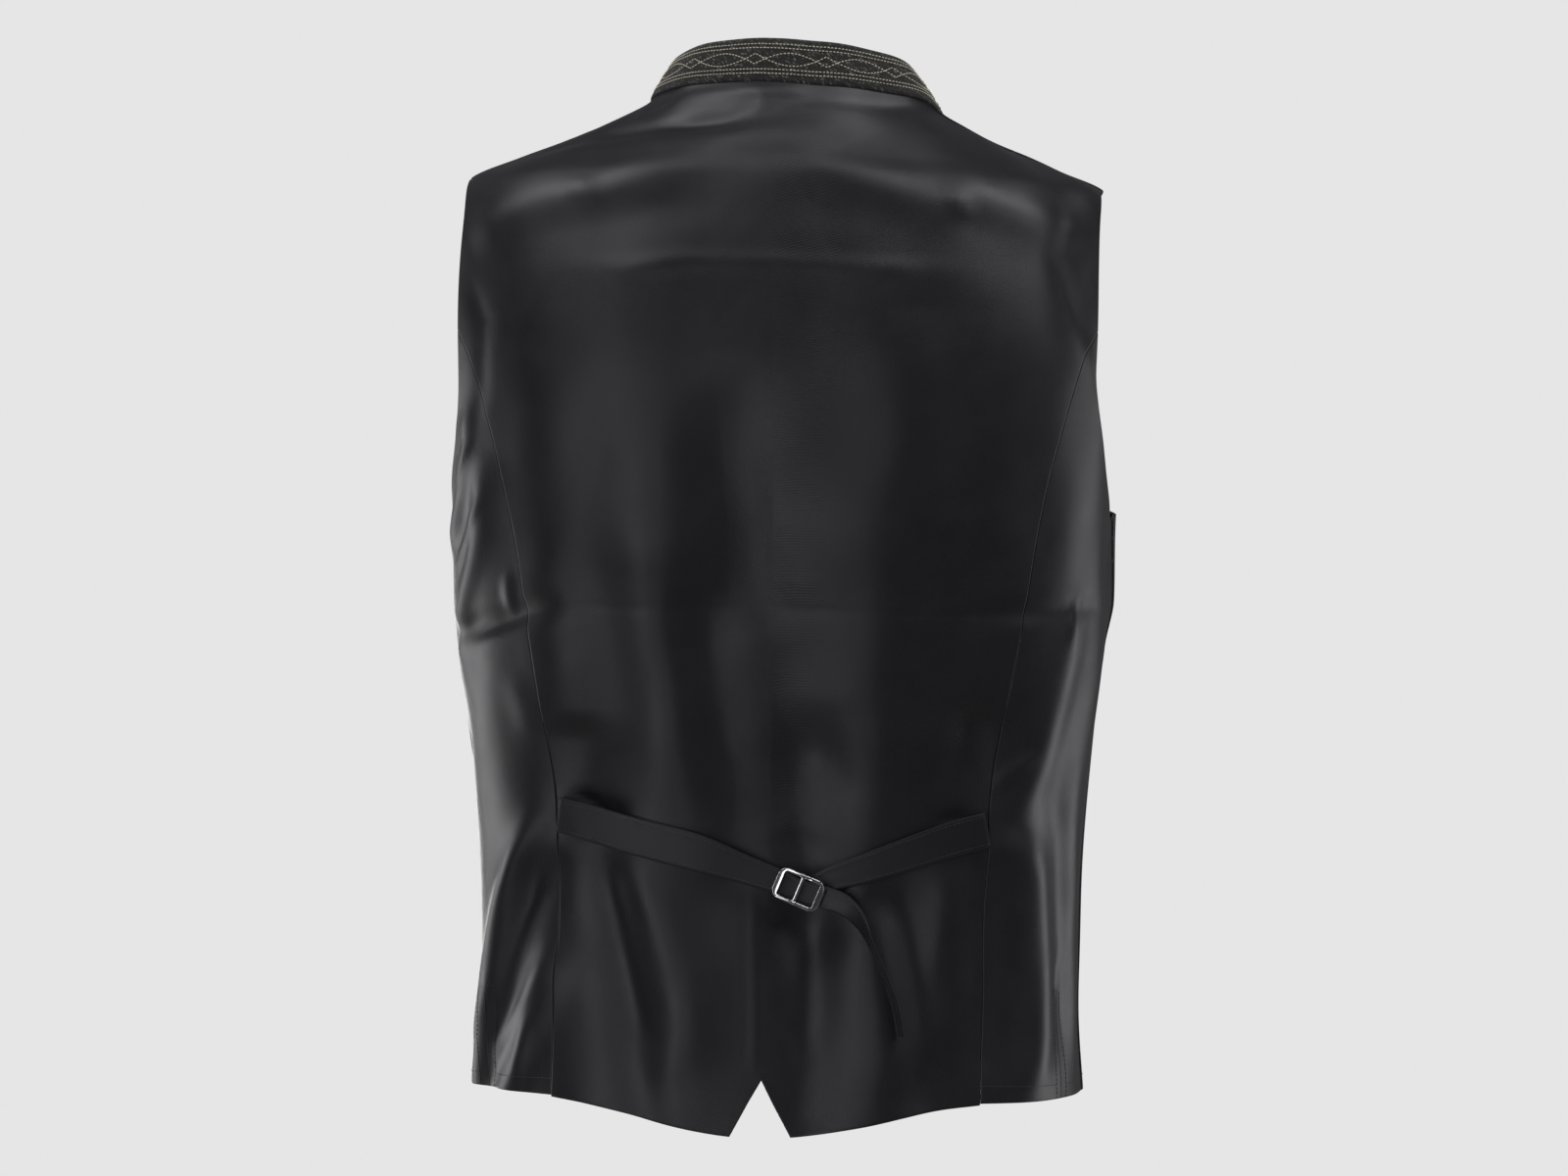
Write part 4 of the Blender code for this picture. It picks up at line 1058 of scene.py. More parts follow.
class NodeBoard:
    """A node tree with short ways to place and join nodes."""

    def __init__(self, tree: Tree) -> None:
        """Works on that tree."""
        self.tree = tree

    def add(self, kind: str, **settings: object) -> Node:
        """Places a node.

        Args:
            kind: Its type, such as ShaderNodeMath.
            **settings: Properties of the node, by name.

        Returns:
            The node.
        """
        node = self.tree.nodes.new(kind)
        for key, value in settings.items():
            setattr(node, key, value)
        return node

    def feed(self, value: object, socket: Socket) -> None:
        """Joins an output to a socket, or sets the socket to a plain value."""
        if isinstance(value, Socket):
            self.tree.links.new(value, socket)
        else:
            socket.default_value = value

    def math(self, operation: str, *values: object) -> Socket:
        """The result of a Math node.

        Args:
            operation: The node's operation.
            *values: Outputs or plain numbers.

        Returns:
            The node's output.
        """
        node = self.add("ShaderNodeMath", operation=operation)
        for value, socket in zip(values, node.inputs):
            self.feed(value, socket)
        return node.outputs[0]

    def noise(
        self, at: object, scale: object, detail: float = 2.0, rough: float = 0.5
    ) -> Socket:
        """A noise value.

        Args:
            at: The coordinates it is read at.
            scale: The noise's scale.
            detail: Octaves.
            rough: How strong the finer octaves are.

        Returns:
            The noise's factor.
        """
        node = self.add("ShaderNodeTexNoise")
        self.feed(at, node.inputs["Vector"])
        self.feed(scale, node.inputs["Scale"])
        node.inputs["Detail"].default_value = detail
        node.inputs["Roughness"].default_value = rough
        return node.outputs["Fac"]

    def ramp(self, value: object, low: object, high: object) -> Socket:
        """A value, stretched so that low gives 0 and high gives 1."""
        node = self.add("ShaderNodeMapRange", clamp=True)
        self.feed(value, node.inputs["Value"])
        self.feed(low, node.inputs["From Min"])
        self.feed(high, node.inputs["From Max"])
        return node.outputs["Result"]

    def mix(self, share: object, first: object, second: object) -> Socket:
        """A colour between two.

        Args:
            share: How much of the second.
            first: The first colour.
            second: The second colour.

        Returns:
            The mixed colour.
        """
        node = self.add("ShaderNodeMix", data_type="RGBA")
        self.feed(share, node.inputs[0])
        self.feed(first, node.inputs[6])
        self.feed(second, node.inputs[7])
        return node.outputs[2]


    def group(self, tree: Tree, values: dict[str, object]) -> Node:
        """Places a shared group and feeds its inputs.

        Args:
            tree: The group.
            values: Outputs or plain values, by input name.

        Returns:
            The group's node.
        """
        node = self.add("ShaderNodeGroup", node_tree=tree)
        for key, value in values.items():
            self.feed(value, node.inputs[key])
        return node

    def scaled(self, vector: object, by: tuple[float, float, float]) -> Socket:
        """The coordinates, stretched by a factor along each axis."""
        node = self.add("ShaderNodeVectorMath", operation="MULTIPLY")
        self.feed(vector, node.inputs[0])
        node.inputs[1].default_value = by
        return node.outputs[0]

    def blend(self, first: object, share: float, second: object) -> Socket:
        """The first value times its share, plus the second times the rest."""
        rest = self.math("MULTIPLY", second, 1 - share)
        return self.math("ADD", self.math("MULTIPLY", first, share), rest)


def set_plain(shader: Node, values: dict[str, object]) -> None:
    """Sets plain values on a shader's own sockets, by name."""
    for key, value in values.items():
        shader.inputs[key].default_value = value


def new_group(name: str, inputs: dict[str, tuple[str, object]], outputs: dict[str, str]) -> tuple:
    """A new shader node group with named sockets.

    Args:
        name: The group's name.
        inputs: Socket type and plain value, by name.
        outputs: Socket type, by name.

    Returns:
        The tree, its board, its input node and its output node.
    """
    tree = bpy.data.node_groups.new(name, "ShaderNodeTree")
    for key, (kind, value) in inputs.items():
        made = tree.interface.new_socket(name=key, in_out="INPUT", socket_type=kind)
        if value is not None:
            made.default_value = value
    for key, kind in outputs.items():
        tree.interface.new_socket(name=key, in_out="OUTPUT", socket_type=kind)
    board = NodeBoard(tree)
    return tree, board, board.add("NodeGroupInput"), board.add("NodeGroupOutput")


def twill_group() -> Tree:
    """Diagonal satin twill: a fine slanting line, its threads and a soft cloudy wear."""
    tree, board, given, result = new_group(
        "satin_twill",
        {
            "Cloth": ("NodeSocketVector", None),
            "Pitch": ("NodeSocketFloat", 1.3),
            "Dark": ("NodeSocketColor", (0.01, 0.01, 0.012, 1)),
            "Light": ("NodeSocketColor", (0.03, 0.03, 0.034, 1)),
        },
        {"Colour": "NodeSocketColor", "Height": "NodeSocketFloat", "Wear": "NodeSocketFloat"},
    )
    parts = board.add("ShaderNodeSeparateXYZ")
    board.feed(given.outputs["Cloth"], parts.inputs[0])
    across, down = parts.outputs[0], parts.outputs[1]
    wander = board.math("MULTIPLY", board.noise(given.outputs["Cloth"], 0.02, 1.0), 1.4)
    slant = board.math("ADD", board.math("ADD", across, board.math("MULTIPLY", down, 0.8)), wander)
    turns = board.math("MULTIPLY", board.math("DIVIDE", slant, given.outputs["Pitch"]), math.tau)
    line = board.math("MULTIPLY_ADD", board.math("SINE", turns), 0.5, 0.5)
    thread = board.noise(given.outputs["Cloth"], 1.7, 2.0, 0.6)
    raised = board.math("MULTIPLY", line, board.ramp(thread, 0.25, 0.7))
    wear = board.noise(given.outputs["Cloth"], 0.035, 3.0, 0.55)
    tint = board.blend(raised, 0.55, wear)
    board.feed(board.mix(tint, given.outputs["Dark"], given.outputs["Light"]), result.inputs["Colour"])
    board.feed(raised, result.inputs["Height"])
    board.feed(wear, result.inputs["Wear"])
    return tree


def melange_group() -> Tree:
    """Felted wool: a mix of dark and light fibres with small flecks and a fuzzy surface."""
    tree, board, given, result = new_group(
        "wool_melange",
        {
            "Cloth": ("NodeSocketVector", None),
            "Dark": ("NodeSocketColor", (0.01, 0.01, 0.01, 1)),
            "Light": ("NodeSocketColor", (0.06, 0.06, 0.06, 1)),
            "Fleck": ("NodeSocketColor", (0.2, 0.19, 0.17, 1)),
        },
        {"Colour": "NodeSocketColor", "Height": "NodeSocketFloat"},
    )
    spread = board.scaled(given.outputs["Cloth"], (1.0, 0.55, 1.0))
    fibre = board.noise(spread, 0.55, 4.0, 0.75)
    cloud = board.noise(given.outputs["Cloth"], 0.16, 3.0, 0.6)
    body = board.ramp(board.blend(fibre, 0.75, cloud), 0.34, 0.68)
    fleck = board.ramp(board.noise(spread, 0.75, 1.0), 0.60, 0.70)
    plain = board.mix(body, given.outputs["Dark"], given.outputs["Light"])
    board.feed(board.mix(fleck, plain, given.outputs["Fleck"]), result.inputs["Colour"])
    board.feed(board.noise(given.outputs["Cloth"], 1.6, 4.0, 0.65), result.inputs["Height"])
    return tree


def handling_group() -> Tree:
    """Fine scratches and cloudy touch marks of a handled hard surface."""
    tree, board, given, result = new_group(
        "handling",
        {
            "Place": ("NodeSocketVector", None),
            "Smooth": ("NodeSocketFloat", 0.15),
            "Worn": ("NodeSocketFloat", 0.35),
        },
        {"Roughness": "NodeSocketFloat", "Height": "NodeSocketFloat", "Mark": "NodeSocketFloat"},
    )
    spread = board.scaled(given.outputs["Place"], (9000.0, 1500.0, 1500.0))
    scratch = board.ramp(board.noise(spread, 0.35, 2.0, 0.7), 0.5, 0.72)
    cloud = board.noise(given.outputs["Place"], 260.0, 3.0, 0.55)
    mark = board.blend(scratch, 0.5, cloud)
    span = board.math("SUBTRACT", given.outputs["Worn"], given.outputs["Smooth"])
    board.feed(board.math("MULTIPLY_ADD", mark, span, given.outputs["Smooth"]), result.inputs["Roughness"])
    board.feed(scratch, result.inputs["Height"])
    board.feed(mark, result.inputs["Mark"])
    return tree


@dataclass(frozen=True)
class BumpDepth:
    """How deep a material's relief is, in millimetres, and how strongly it shows."""

    depth: float
    strength: float


@dataclass(frozen=True)
class SatinFinish:
    """Black viscose satin with a fine slanting twill."""

    name: str
    dark: Colour = (0.0048, 0.0047, 0.0058, 1)
    light: Colour = (0.0175, 0.0168, 0.0205, 1)
    pitch: float = 1.6
    roughness: float = 0.42
    wear_spread: float = 0.16
    wear_least: float = -0.04
    sheen: float = 0.07
    sheen_tint: Colour = (0.62, 0.6, 0.68, 1)
    gloss_tint: Colour = (0.965, 0.95, 1.0, 1)
    long_gloss: float = 0.3
    long_gloss_turn: float = 0.25
    thread_glint: float = 0.14
    bump: BumpDepth = BumpDepth(0.09, 0.6)

    def material(self, groups: dict[str, Tree]) -> Material:
        """Makes the material from the shared groups."""
        made, board, shader = new_material(self.name)
        cloth = board.add("ShaderNodeAttribute", attribute_name="cloth_mm").outputs["Vector"]
        values = {"Cloth": cloth, "Pitch": self.pitch, "Dark": self.dark, "Light": self.light}
        twill = board.group(groups["twill"], values)
        board.feed(twill.outputs["Colour"], shader.inputs["Base Color"])
        least = self.roughness + self.wear_least
        rough = board.math("MULTIPLY_ADD", twill.outputs["Wear"], self.wear_spread, least)
        glint = board.math("MULTIPLY", twill.outputs["Height"], self.thread_glint)
        board.feed(board.math("SUBTRACT", rough, glint), shader.inputs["Roughness"])
        plain = {
            "Sheen Weight": self.sheen,
            "Sheen Roughness": 0.45,
            "Sheen Tint": self.sheen_tint,
            "Specular IOR Level": 0.5,
            "Specular Tint": self.gloss_tint,
            "Anisotropic": self.long_gloss,
            "Anisotropic Rotation": self.long_gloss_turn,
        }
        set_plain(shader, plain)
        add_bump(board, shader, twill.outputs["Height"], self.bump)
        return made


@dataclass(frozen=True)
class WoolFinish:
    """Felted charcoal wool with lighter fibres."""

    name: str
    dark: Colour
    light: Colour
    fleck: Colour
    sheen: float
    roughness: float = 0.92
    bump: BumpDepth = BumpDepth(0.35, 0.75)

    def material(self, groups: dict[str, Tree]) -> Material:
        """Makes the material from the shared groups."""
        made, board, shader = new_material(self.name)
        cloth = board.add("ShaderNodeAttribute", attribute_name="cloth_mm").outputs["Vector"]
        values = {"Cloth": cloth, "Dark": self.dark, "Light": self.light, "Fleck": self.fleck}
        wool = board.group(groups["melange"], values)
        board.feed(wool.outputs["Colour"], shader.inputs["Base Color"])
        plain = {
            "Roughness": self.roughness,
            "Sheen Weight": self.sheen,
            "Sheen Roughness": 0.6,
            "Specular IOR Level": 0.25,
        }
        set_plain(shader, plain)
        add_bump(board, shader, wool.outputs["Height"], self.bump)
        return made


@dataclass(frozen=True)
class ThreadFinish:
    """Twisted sewing thread."""

    name: str
    dark: Colour
    light: Colour
    roughness: float = 0.6

    def material(self, groups: dict[str, Tree]) -> Material:
        """Makes the material; its twist is a fine wave across the thread."""
        made, board, shader = new_material(self.name)
        place = board.add("ShaderNodeTexCoord").outputs["Object"]
        twist = board.add("ShaderNodeTexWave", bands_direction="DIAGONAL")
        board.feed(place, twist.inputs["Vector"])
        twist.inputs["Scale"].default_value = 900.0
        twist.inputs["Distortion"].default_value = 1.5
        fade = board.noise(place, 140.0, 2.0)
        share = board.blend(twist.outputs["Fac"], 0.5, fade)
        board.feed(board.mix(share, self.dark, self.light), shader.inputs["Base Color"])
        set_plain(shader, {"Roughness": self.roughness, "Sheen Weight": 0.2})
        add_bump(board, shader, twist.outputs["Fac"], BumpDepth(0.05, 0.4))
        return made


@dataclass(frozen=True)
class MetalFinish:
    """Polished nickel-plated metal, a little handled."""

    name: str
    colour: Colour = (0.58, 0.58, 0.60, 1)
    dull: Colour = (0.30, 0.30, 0.32, 1)
    smooth: float = 0.06
    worn: float = 0.2

    def material(self, groups: dict[str, Tree]) -> Material:
        """Makes the material from the shared groups."""
        made, board, shader = new_material(self.name)
        place = board.add("ShaderNodeTexCoord").outputs["Object"]
        marks = board.group(groups["handling"], {"Place": place, "Smooth": self.smooth, "Worn": self.worn})
        board.feed(board.mix(marks.outputs["Mark"], self.colour, self.dull), shader.inputs["Base Color"])
        board.feed(marks.outputs["Roughness"], shader.inputs["Roughness"])
        shader.inputs["Metallic"].default_value = 1.0
        add_bump(board, shader, marks.outputs["Height"], BumpDepth(0.01, 0.15))
        return made


@dataclass(frozen=True)
class HornFinish:
    """Dark polished horn with paler streaks."""

    name: str
    dark: Colour = (0.012, 0.009, 0.007, 1)
    light: Colour = (0.11, 0.075, 0.045, 1)
    smooth: float = 0.22
    worn: float = 0.42

    def material(self, groups: dict[str, Tree]) -> Material:
        """Makes the material from the shared groups."""
        made, board, shader = new_material(self.name)
        place = board.add("ShaderNodeTexCoord").outputs["Object"]
        drawn = board.scaled(place, (1.0, 1.0, 0.22))
        streak = board.ramp(board.noise(drawn, 420.0, 4.0, 0.6), 0.42, 0.72)
        marks = board.group(groups["handling"], {"Place": place, "Smooth": self.smooth, "Worn": self.worn})
        board.feed(board.mix(streak, self.dark, self.light), shader.inputs["Base Color"])
        board.feed(marks.outputs["Roughness"], shader.inputs["Roughness"])
        shader.inputs["Coat Weight"].default_value = 0.3
        add_bump(board, shader, streak, BumpDepth(0.03, 0.2))
        return made


def new_material(name: str) -> tuple[Material, NodeBoard, Node]:
    """A new material with its board and its Principled shader."""
    made = bpy.data.materials.new(name)
    made.use_nodes = True
    return made, NodeBoard(made.node_tree), made.node_tree.nodes["Principled BSDF"]


def add_bump(board: NodeBoard, shader: Node, height: Socket, bump: BumpDepth) -> None:
    """Gives a material its relief.

    Args:
        board: The material's board.
        shader: Its Principled shader.
        height: The relief, 0 to 1.
        bump: How deep it is.
    """
    node = board.add("ShaderNodeBump")
    node.inputs["Strength"].default_value = bump.strength
    node.inputs["Distance"].default_value = bump.depth * MM
    board.feed(height, node.inputs["Height"])
    board.feed(node.outputs["Normal"], shader.inputs["Normal"])


class Wardrobe:
    """Every material of the vest, made once."""

    def __init__(self) -> None:
        """Makes the shared groups and the materials."""
        groups = {"twill": twill_group(), "melange": melange_group(), "handling": handling_group()}
        dark = (0.004, 0.004, 0.004, 1)
        wool = WoolFinish("wool", dark, (0.032, 0.032, 0.031, 1), (0.075, 0.074, 0.07, 1), 0.14)
        collar = WoolFinish("collar_wool", dark, (0.036, 0.036, 0.035, 1), (0.20, 0.195, 0.18, 1), 0.12)
        self.slots = {
            Finish.SATIN: SatinFinish("satin").material(groups),
            Finish.STRAP_SATIN: SatinFinish("strap_satin", roughness=0.44, pitch=1.1).material(groups),
            Finish.WOOL: wool.material(groups),
            Finish.COLLAR_WOOL: collar.material(groups),
            Finish.BUCKLE_METAL: MetalFinish("buckle_metal").material(groups),
            Finish.BUTTON_HORN: HornFinish("button_horn").material(groups),
        }
        cream = ThreadFinish("cream_thread", (0.55, 0.50, 0.37, 1), (0.92, 0.87, 0.72, 1))
        black = ThreadFinish("black_thread", (0.008, 0.008, 0.009, 1), (0.03, 0.03, 0.033, 1), 0.5)
        self.cream_thread, self.black_thread = cream.material(groups), black.material(groups)


def placed(
    name: str, mesh: bpy.types.Mesh, material: Material
) -> bpy.types.Object:
    """A new piece that rides with the vest.

    Args:
        name: The piece's name.
        mesh: Its mesh.
        material: Its material.

    Returns:
        The piece.
    """
    piece = bpy.data.objects.new(name, mesh)
    mesh.materials.clear()
    mesh.materials.append(material)
    bpy.context.scene.collection.objects.link(piece)
    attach(piece, "root")
    log.info("%s: %d faces", name, len(mesh.polygons))
    return piece


# ---------------------------------------------------------------- the panels


@dataclass(frozen=True)
class Cut:
    """The flat cut of a sheet of cloth, in metres, and its area."""

    width: float
    length: float
    area: float


@dataclass
class Panel:
    """What the panels have in common: the form they lie on, their cloth and their materials."""

    form: BodyForm
    wardrobe: Wardrobe
    step: float = 2.5

    def gathered(self, v: Array) -> Array:
        """Rows drawn together towards the top, where the cloth turns over the shoulder."""
        return 1 - (0.45 * (1 - v) + 0.55 * (1 - v) ** 2)

    def shoulder(self, side: int) -> Curve:
        """The shoulder seam from the neck point to the tip: side is 1 for the fronts, -1 for the back."""

        def curve(share: Array) -> tuple[Array, Array]:
            """Turns and heights along the seam."""
            height = lerp(NECK_SIDE, SHOULDER_TIP, share)
            return 1.0 + side * self.form.seam_share(height) * TIP_GAP, height

        return curve

    def grid(
        self, turn: Array, height: Array, out: Array | float, cloth: float, edges: Sequence
    ) -> ClothGrid:
        """The wall's grid, with rounded edges.

        Args:
            turn: Turns by column and row.
            height: Heights by column and row.
            out: How far the inner face is lifted.
            cloth: The cloth's thickness.
            edges: (side, last, EdgeShape) of each edge.

        Returns:
            The grid.
        """
        points = self.form.cloth(turn, height, out)
        thick = np.full(turn.shape, cloth)
        for side, last, shape in edges:
            far = edge_distance(points, side, last)
            thick = np.minimum(thick, cloth * lerp(shape.share, 1.0, np.sqrt(smooth(far / shape.width))))
        return ClothGrid(points, thick, np.zeros(turn.shape))

    def dressed(self, node: str, grid: ClothGrid, finish: Finish, slit: Slit | None = None) -> None:
        """Makes the finished sheet that takes a solid's place.

        Args:
            node: The solid it replaces.
            grid: The wall's grid.
            finish: Its finish.
            slit: A cut from the hem up, if it has one.
        """
        name = f"{node}_cloth"
        piece = placed(name, wall_mesh(name, grid, slit), self.wardrobe.slots[finish])
        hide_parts(node)


@dataclass
class Back(Panel):
    """The satin back, with its rounded hem and the notch at the middle."""

    cut: Cut = Cut(0.44, 0.67, 0.235)

    def edge(self, share: Array) -> tuple[Array, Array]:
        """The side edge, from the hem up its seam and armhole to the shoulder tip."""
        height = lerp(HEM, SHOULDER_TIP, share)
        reach = np.where(height < ARMHOLE_SEAM, self.form.seam(height), self.form.back_armhole(height))
        gap = np.where(height > SHOULDER_TIP - 2, TIP_GAP, 1.0) * self.form.seam_share(height)
        return self.form.turn_at(reach, height) - gap, height

    def hem(self, reach: Array) -> tuple[Array, Array]:
        """The hem: it dips from the seam to the tip beside the centre, and rises in the notch."""
        notch = (NOTCH_TOP - BACK_HEM[0][1]) * np.maximum(0.0, 1 - reach / NOTCH_HALF_WIDTH)
        gap = self.form.seam_share(HEM) * smooth((reach - 128) / 3)
        return self.form.turn_at(reach, HEM) - gap, self.form.hem(reach) + notch

    def half(self) -> tuple[Array, Array]:
        """Turns and heights of the left half, from the centre to the side edge."""
        per = 5
        columns = len(BACK_REACHES) - 1
        u = np.linspace(0, 1, columns * per + 1)
        close = 1 - np.array([0.0024, 0.006, 0.0112])
        u = np.concatenate([u[:-1], close[::-1], u[-1:]])
        v = divided(640.0, self.step)
        reach = np.interp(u * columns, np.arange(columns + 1), BACK_REACHES)
        lower = np.stack(self.hem(reach), -1)
        neck = np.minimum(u * 2, 1.0)
        shoulder = by_length(self.form, self.shoulder(-1), np.clip(u * 2 - 1, 0, 1))
        over_neck = (u <= 0.5)[:, None]
        upper = np.where(over_neck, np.stack([neck, lerp(NECK_BACK, NECK_SIDE, neck**3)], -1), shoulder)
        shares = self.gathered(v)

        def centre(share: Array) -> tuple[Array, Array]:
            """The centre back, from the notch up to the neck."""
            return np.zeros_like(share), lerp(NOTCH_TOP, NECK_BACK, share)

        inner = by_length(self.form, centre, shares)
        outer = by_length(self.form, self.edge, shares)
        return patch(self.form, lower, upper, inner, outer, u, v)

    def build(self) -> None:
        """The back as one closed wall."""
        turn, height = self.half()
        turn = np.concatenate([-turn[:0:-1], turn])
        height = np.concatenate([height[:0:-1], height])
        edges = [(0, False, SEAM_EDGE), (0, True, SEAM_EDGE), (1, False, HEM_EDGE), (1, True, SEAM_EDGE)]
        grid = self.grid(turn, height, 0.0, SATIN, edges)
        self.dressed("back", grid, Finish.SATIN)


@dataclass
class Side(Panel):
    """A satin side panel, from the back seam to the side seam, with a vent at the hem."""

    hand: int = 1
    cut: Cut = Cut(0.14, 0.50, 0.052)
    vent_share: float = 5 / 9
    vent_top: float = 4 / 26
    vent_opening: float = 0.5
    vent_rows: tuple[float, float] = (-3.0, 3.2)
    hem_row: float = 7.0
    stitch_out: float = 0.05

    def hem(self, share: Array) -> tuple[Array, Array]:
        """The lower edge."""
        first = self.form.turn_at(BACK_SEAM[0][1], HEM) + self.form.seam_share(HEM)
        return lerp(first, SIDE_SEAM - self.form.seam_share(HEM), share), np.full_like(share, HEM)

    def armhole(self, share: Array) -> tuple[Array, Array]:
        """The armhole edge, from the back seam down to the side seam."""
        first = self.form.turn_at(BACK_ARMHOLE[0][1], ARMHOLE_SEAM) + self.form.seam_share(ARMHOLE_SEAM)
        angle = share * math.pi / 2
        last = SIDE_SEAM - self.form.seam_share(ARMHOLE_BASE)
        turn = lerp(first, last, 1 - np.maximum(np.cos(angle), 0) ** 1.15)
        return turn, lerp(ARMHOLE_SEAM, ARMHOLE_BASE, np.sin(angle) ** 1.1)

    def inner(self, share: Array) -> tuple[Array, Array]:
        """The edge along the back's seam."""
        height = lerp(HEM, ARMHOLE_SEAM, share)
        return self.form.turn_at(self.form.seam(height), height) + self.form.seam_share(height), height

    def outer(self, share: Array) -> tuple[Array, Array]:
        """The edge along the side seam."""
        height = lerp(HEM, ARMHOLE_BASE, share)
        return SIDE_SEAM - self.form.seam_share(height), height

    def build(self) -> None:
        """The side panel as one closed wall, parted along its vent."""
        u = divided(110.0, self.step)
        u = np.unique(np.append(u[np.abs(u - self.vent_share) > 0.008], self.vent_share))
        v = divided(470.0, self.step)
        v = np.unique(np.append(v[np.abs(v - self.vent_top) > 0.002], self.vent_top))
        curves = ((self.hem, u), (self.armhole, u), (self.inner, v), (self.outer, v))
        turn, height = patch(self.form, *(by_length(self.form, c, s) for c, s in curves), u, v)
        edges = [(0, False, SEAM_EDGE), (0, True, SEAM_EDGE), (1, False, HEM_EDGE), (1, True, HEM_EDGE)]
        grid = self.grid(turn * self.hand, height, 0.0, SATIN, edges)
        column = int(np.argmin(np.abs(u - self.vent_share)))
        row = int(np.argmin(np.abs(v - self.vent_top)))
        node = "side_left" if self.hand > 0 else "side_right"
        self.dressed(node, grid, Finish.SATIN, Slit(column, row, self.vent_opening))
        self.stitch_vent(grid, column, row)

    def stitch_vent(self, grid: ClothGrid, column: int, row: int) -> None:
        """Topstitches both sides of the vent and closes its top with a short bar.

        Args:
            grid: The panel's grid.
            column: The vent's column.
            row: The row of its top.
        """
        work = ThreadWork()
        rows = np.linspace(0.5, row + 1.5, 60)
        for offset in self.vent_rows:
            work.follow(grid, column + offset, rows, self.stitch_out)
        across = np.linspace(column - 2.9, column + 3.1, 12)
        work.follow(grid, across, row + 1.5, self.stitch_out)
        columns = np.linspace(1.5, grid.points.shape[0] - 2.5, 120)
        away = np.abs(columns - column) > 2.6
        for part in (columns < column, columns > column):
            work.follow(grid, columns[part & away], self.hem_row, self.stitch_out)
        name = "side_left_stitching" if self.hand > 0 else "side_right_stitching"
        placed(name, work.mesh(name), self.wardrobe.black_thread)


@dataclass
class Front(Panel):
    """A wool front, from its lap edge to its side edge."""

    hand: int = 1
    cut: Cut = Cut(0.28, 0.66, 0.15)
    neck_share: float = 8 / 14
    stitch_inset: float = 5.0
    stitch_points: int = 400
    stitch_out: float = 0.08

    def lapped(self, turn: Array, height: Array) -> Array:
        """How far the upper front is lifted where it lies on the lower one."""
        if self.hand < 0:
            return np.zeros_like(turn)
        return lap_lift(self.form, turn, height)

    def edge(self, share: Array) -> tuple[Array, Array]:
        """The side edge, up its side seam and round its armhole to the shoulder tip."""
        height = lerp(HEM, SHOULDER_TIP, share)
        gap = self.form.seam_share(height)
        base = SIDE_SEAM + gap
        turn = 2 - self.form.turn_at(self.form.front_armhole(height), height)
        near_base = smooth(1 - (height - ARMHOLE_BASE) / 12)
        near_tip = smooth((height - SHOULDER_TIP) / 4 + 1) * gap * TIP_GAP
        return np.where(height < ARMHOLE_BASE, base, lerp(turn, base, near_base) + near_tip), height

    def lap(self, share: Array) -> tuple[Array, Array]:
        """The lap edge, from the hem up to the neck."""
        height = lerp(FRONT_HEM, NECK_FRONT, share)
        return 2 + self.form.turn_at(FRONT_LAP, height), height

    def hem(self, share: Array) -> tuple[Array, Array]:
        """The lower edge, from the lap edge to the side seam."""
        first = 2 + self.form.turn_at(FRONT_LAP, FRONT_HEM)
        last = SIDE_SEAM + self.form.seam_share(HEM)
        return lerp(first, last, share), lerp(FRONT_HEM, HEM, smooth(share))

    def build(self) -> None:
        """The front as one closed wall."""
        u = divided(240.0, self.step * 1.15)
        v = divided(600.0, self.step * 1.1)
        lap = math.asin(FRONT_LAP / float(self.form.part["half_width"](NECK_SIDE)))
        angle = lerp(-lap, math.pi / 2, np.minimum(u / self.neck_share, 1.0))
        neck = np.stack(front_neck(self.form, angle), -1)
        rest = np.clip((u - self.neck_share) / (1 - self.neck_share), 0, 1)
        shoulder = by_length(self.form, self.shoulder(1), rest)
        upper = np.where((u <= self.neck_share)[:, None], neck, shoulder)
        shares = self.gathered(v)
        lower = by_length(self.form, self.hem, u)
        inner, outer = by_length(self.form, self.lap, shares), by_length(self.form, self.edge, shares)
        turn, height = patch(self.form, lower, upper, inner, outer, u, v)
        edges = [(0, False, HEM_EDGE), (0, True, SEAM_EDGE), (1, False, HEM_EDGE), (1, True, SEAM_EDGE)]
        grid = self.grid(turn * self.hand, height, self.lapped(turn, height), WOOL, edges)
        self.dressed("front_left" if self.hand > 0 else "front_right", grid, Finish.WOOL)
        self.stitch_edges(grid)

    def stitch_edges(self, grid: ClothGrid) -> None:
        """Topstitches the lap edge and the hem.

        Args:
            grid: The front's grid.
        """
        work = ThreadWork()
        inset, (columns, rows) = self.stitch_inset, grid.points.shape[:2]
        work.follow(grid, inset, np.linspace(inset, rows - 2.5, self.stitch_points), self.stitch_out)
        work.follow(grid, np.linspace(inset, columns - 2.5, self.stitch_points), inset, self.stitch_out)
        name = "front_left_stitching" if self.hand > 0 else "front_right_stitching"
        placed(name, work.mesh(name), self.wardrobe.black_thread)


def lap_lift(form: BodyForm, turn: Array, height: Array) -> Array:
    """How far the upper front is lifted at those turns and heights."""
    reach = (2 - turn) * form.part["half_width"](height)
    return LAP_LIFT * (1 - smooth((reach - FRONT_LAP - 3) / LAP_EASE))


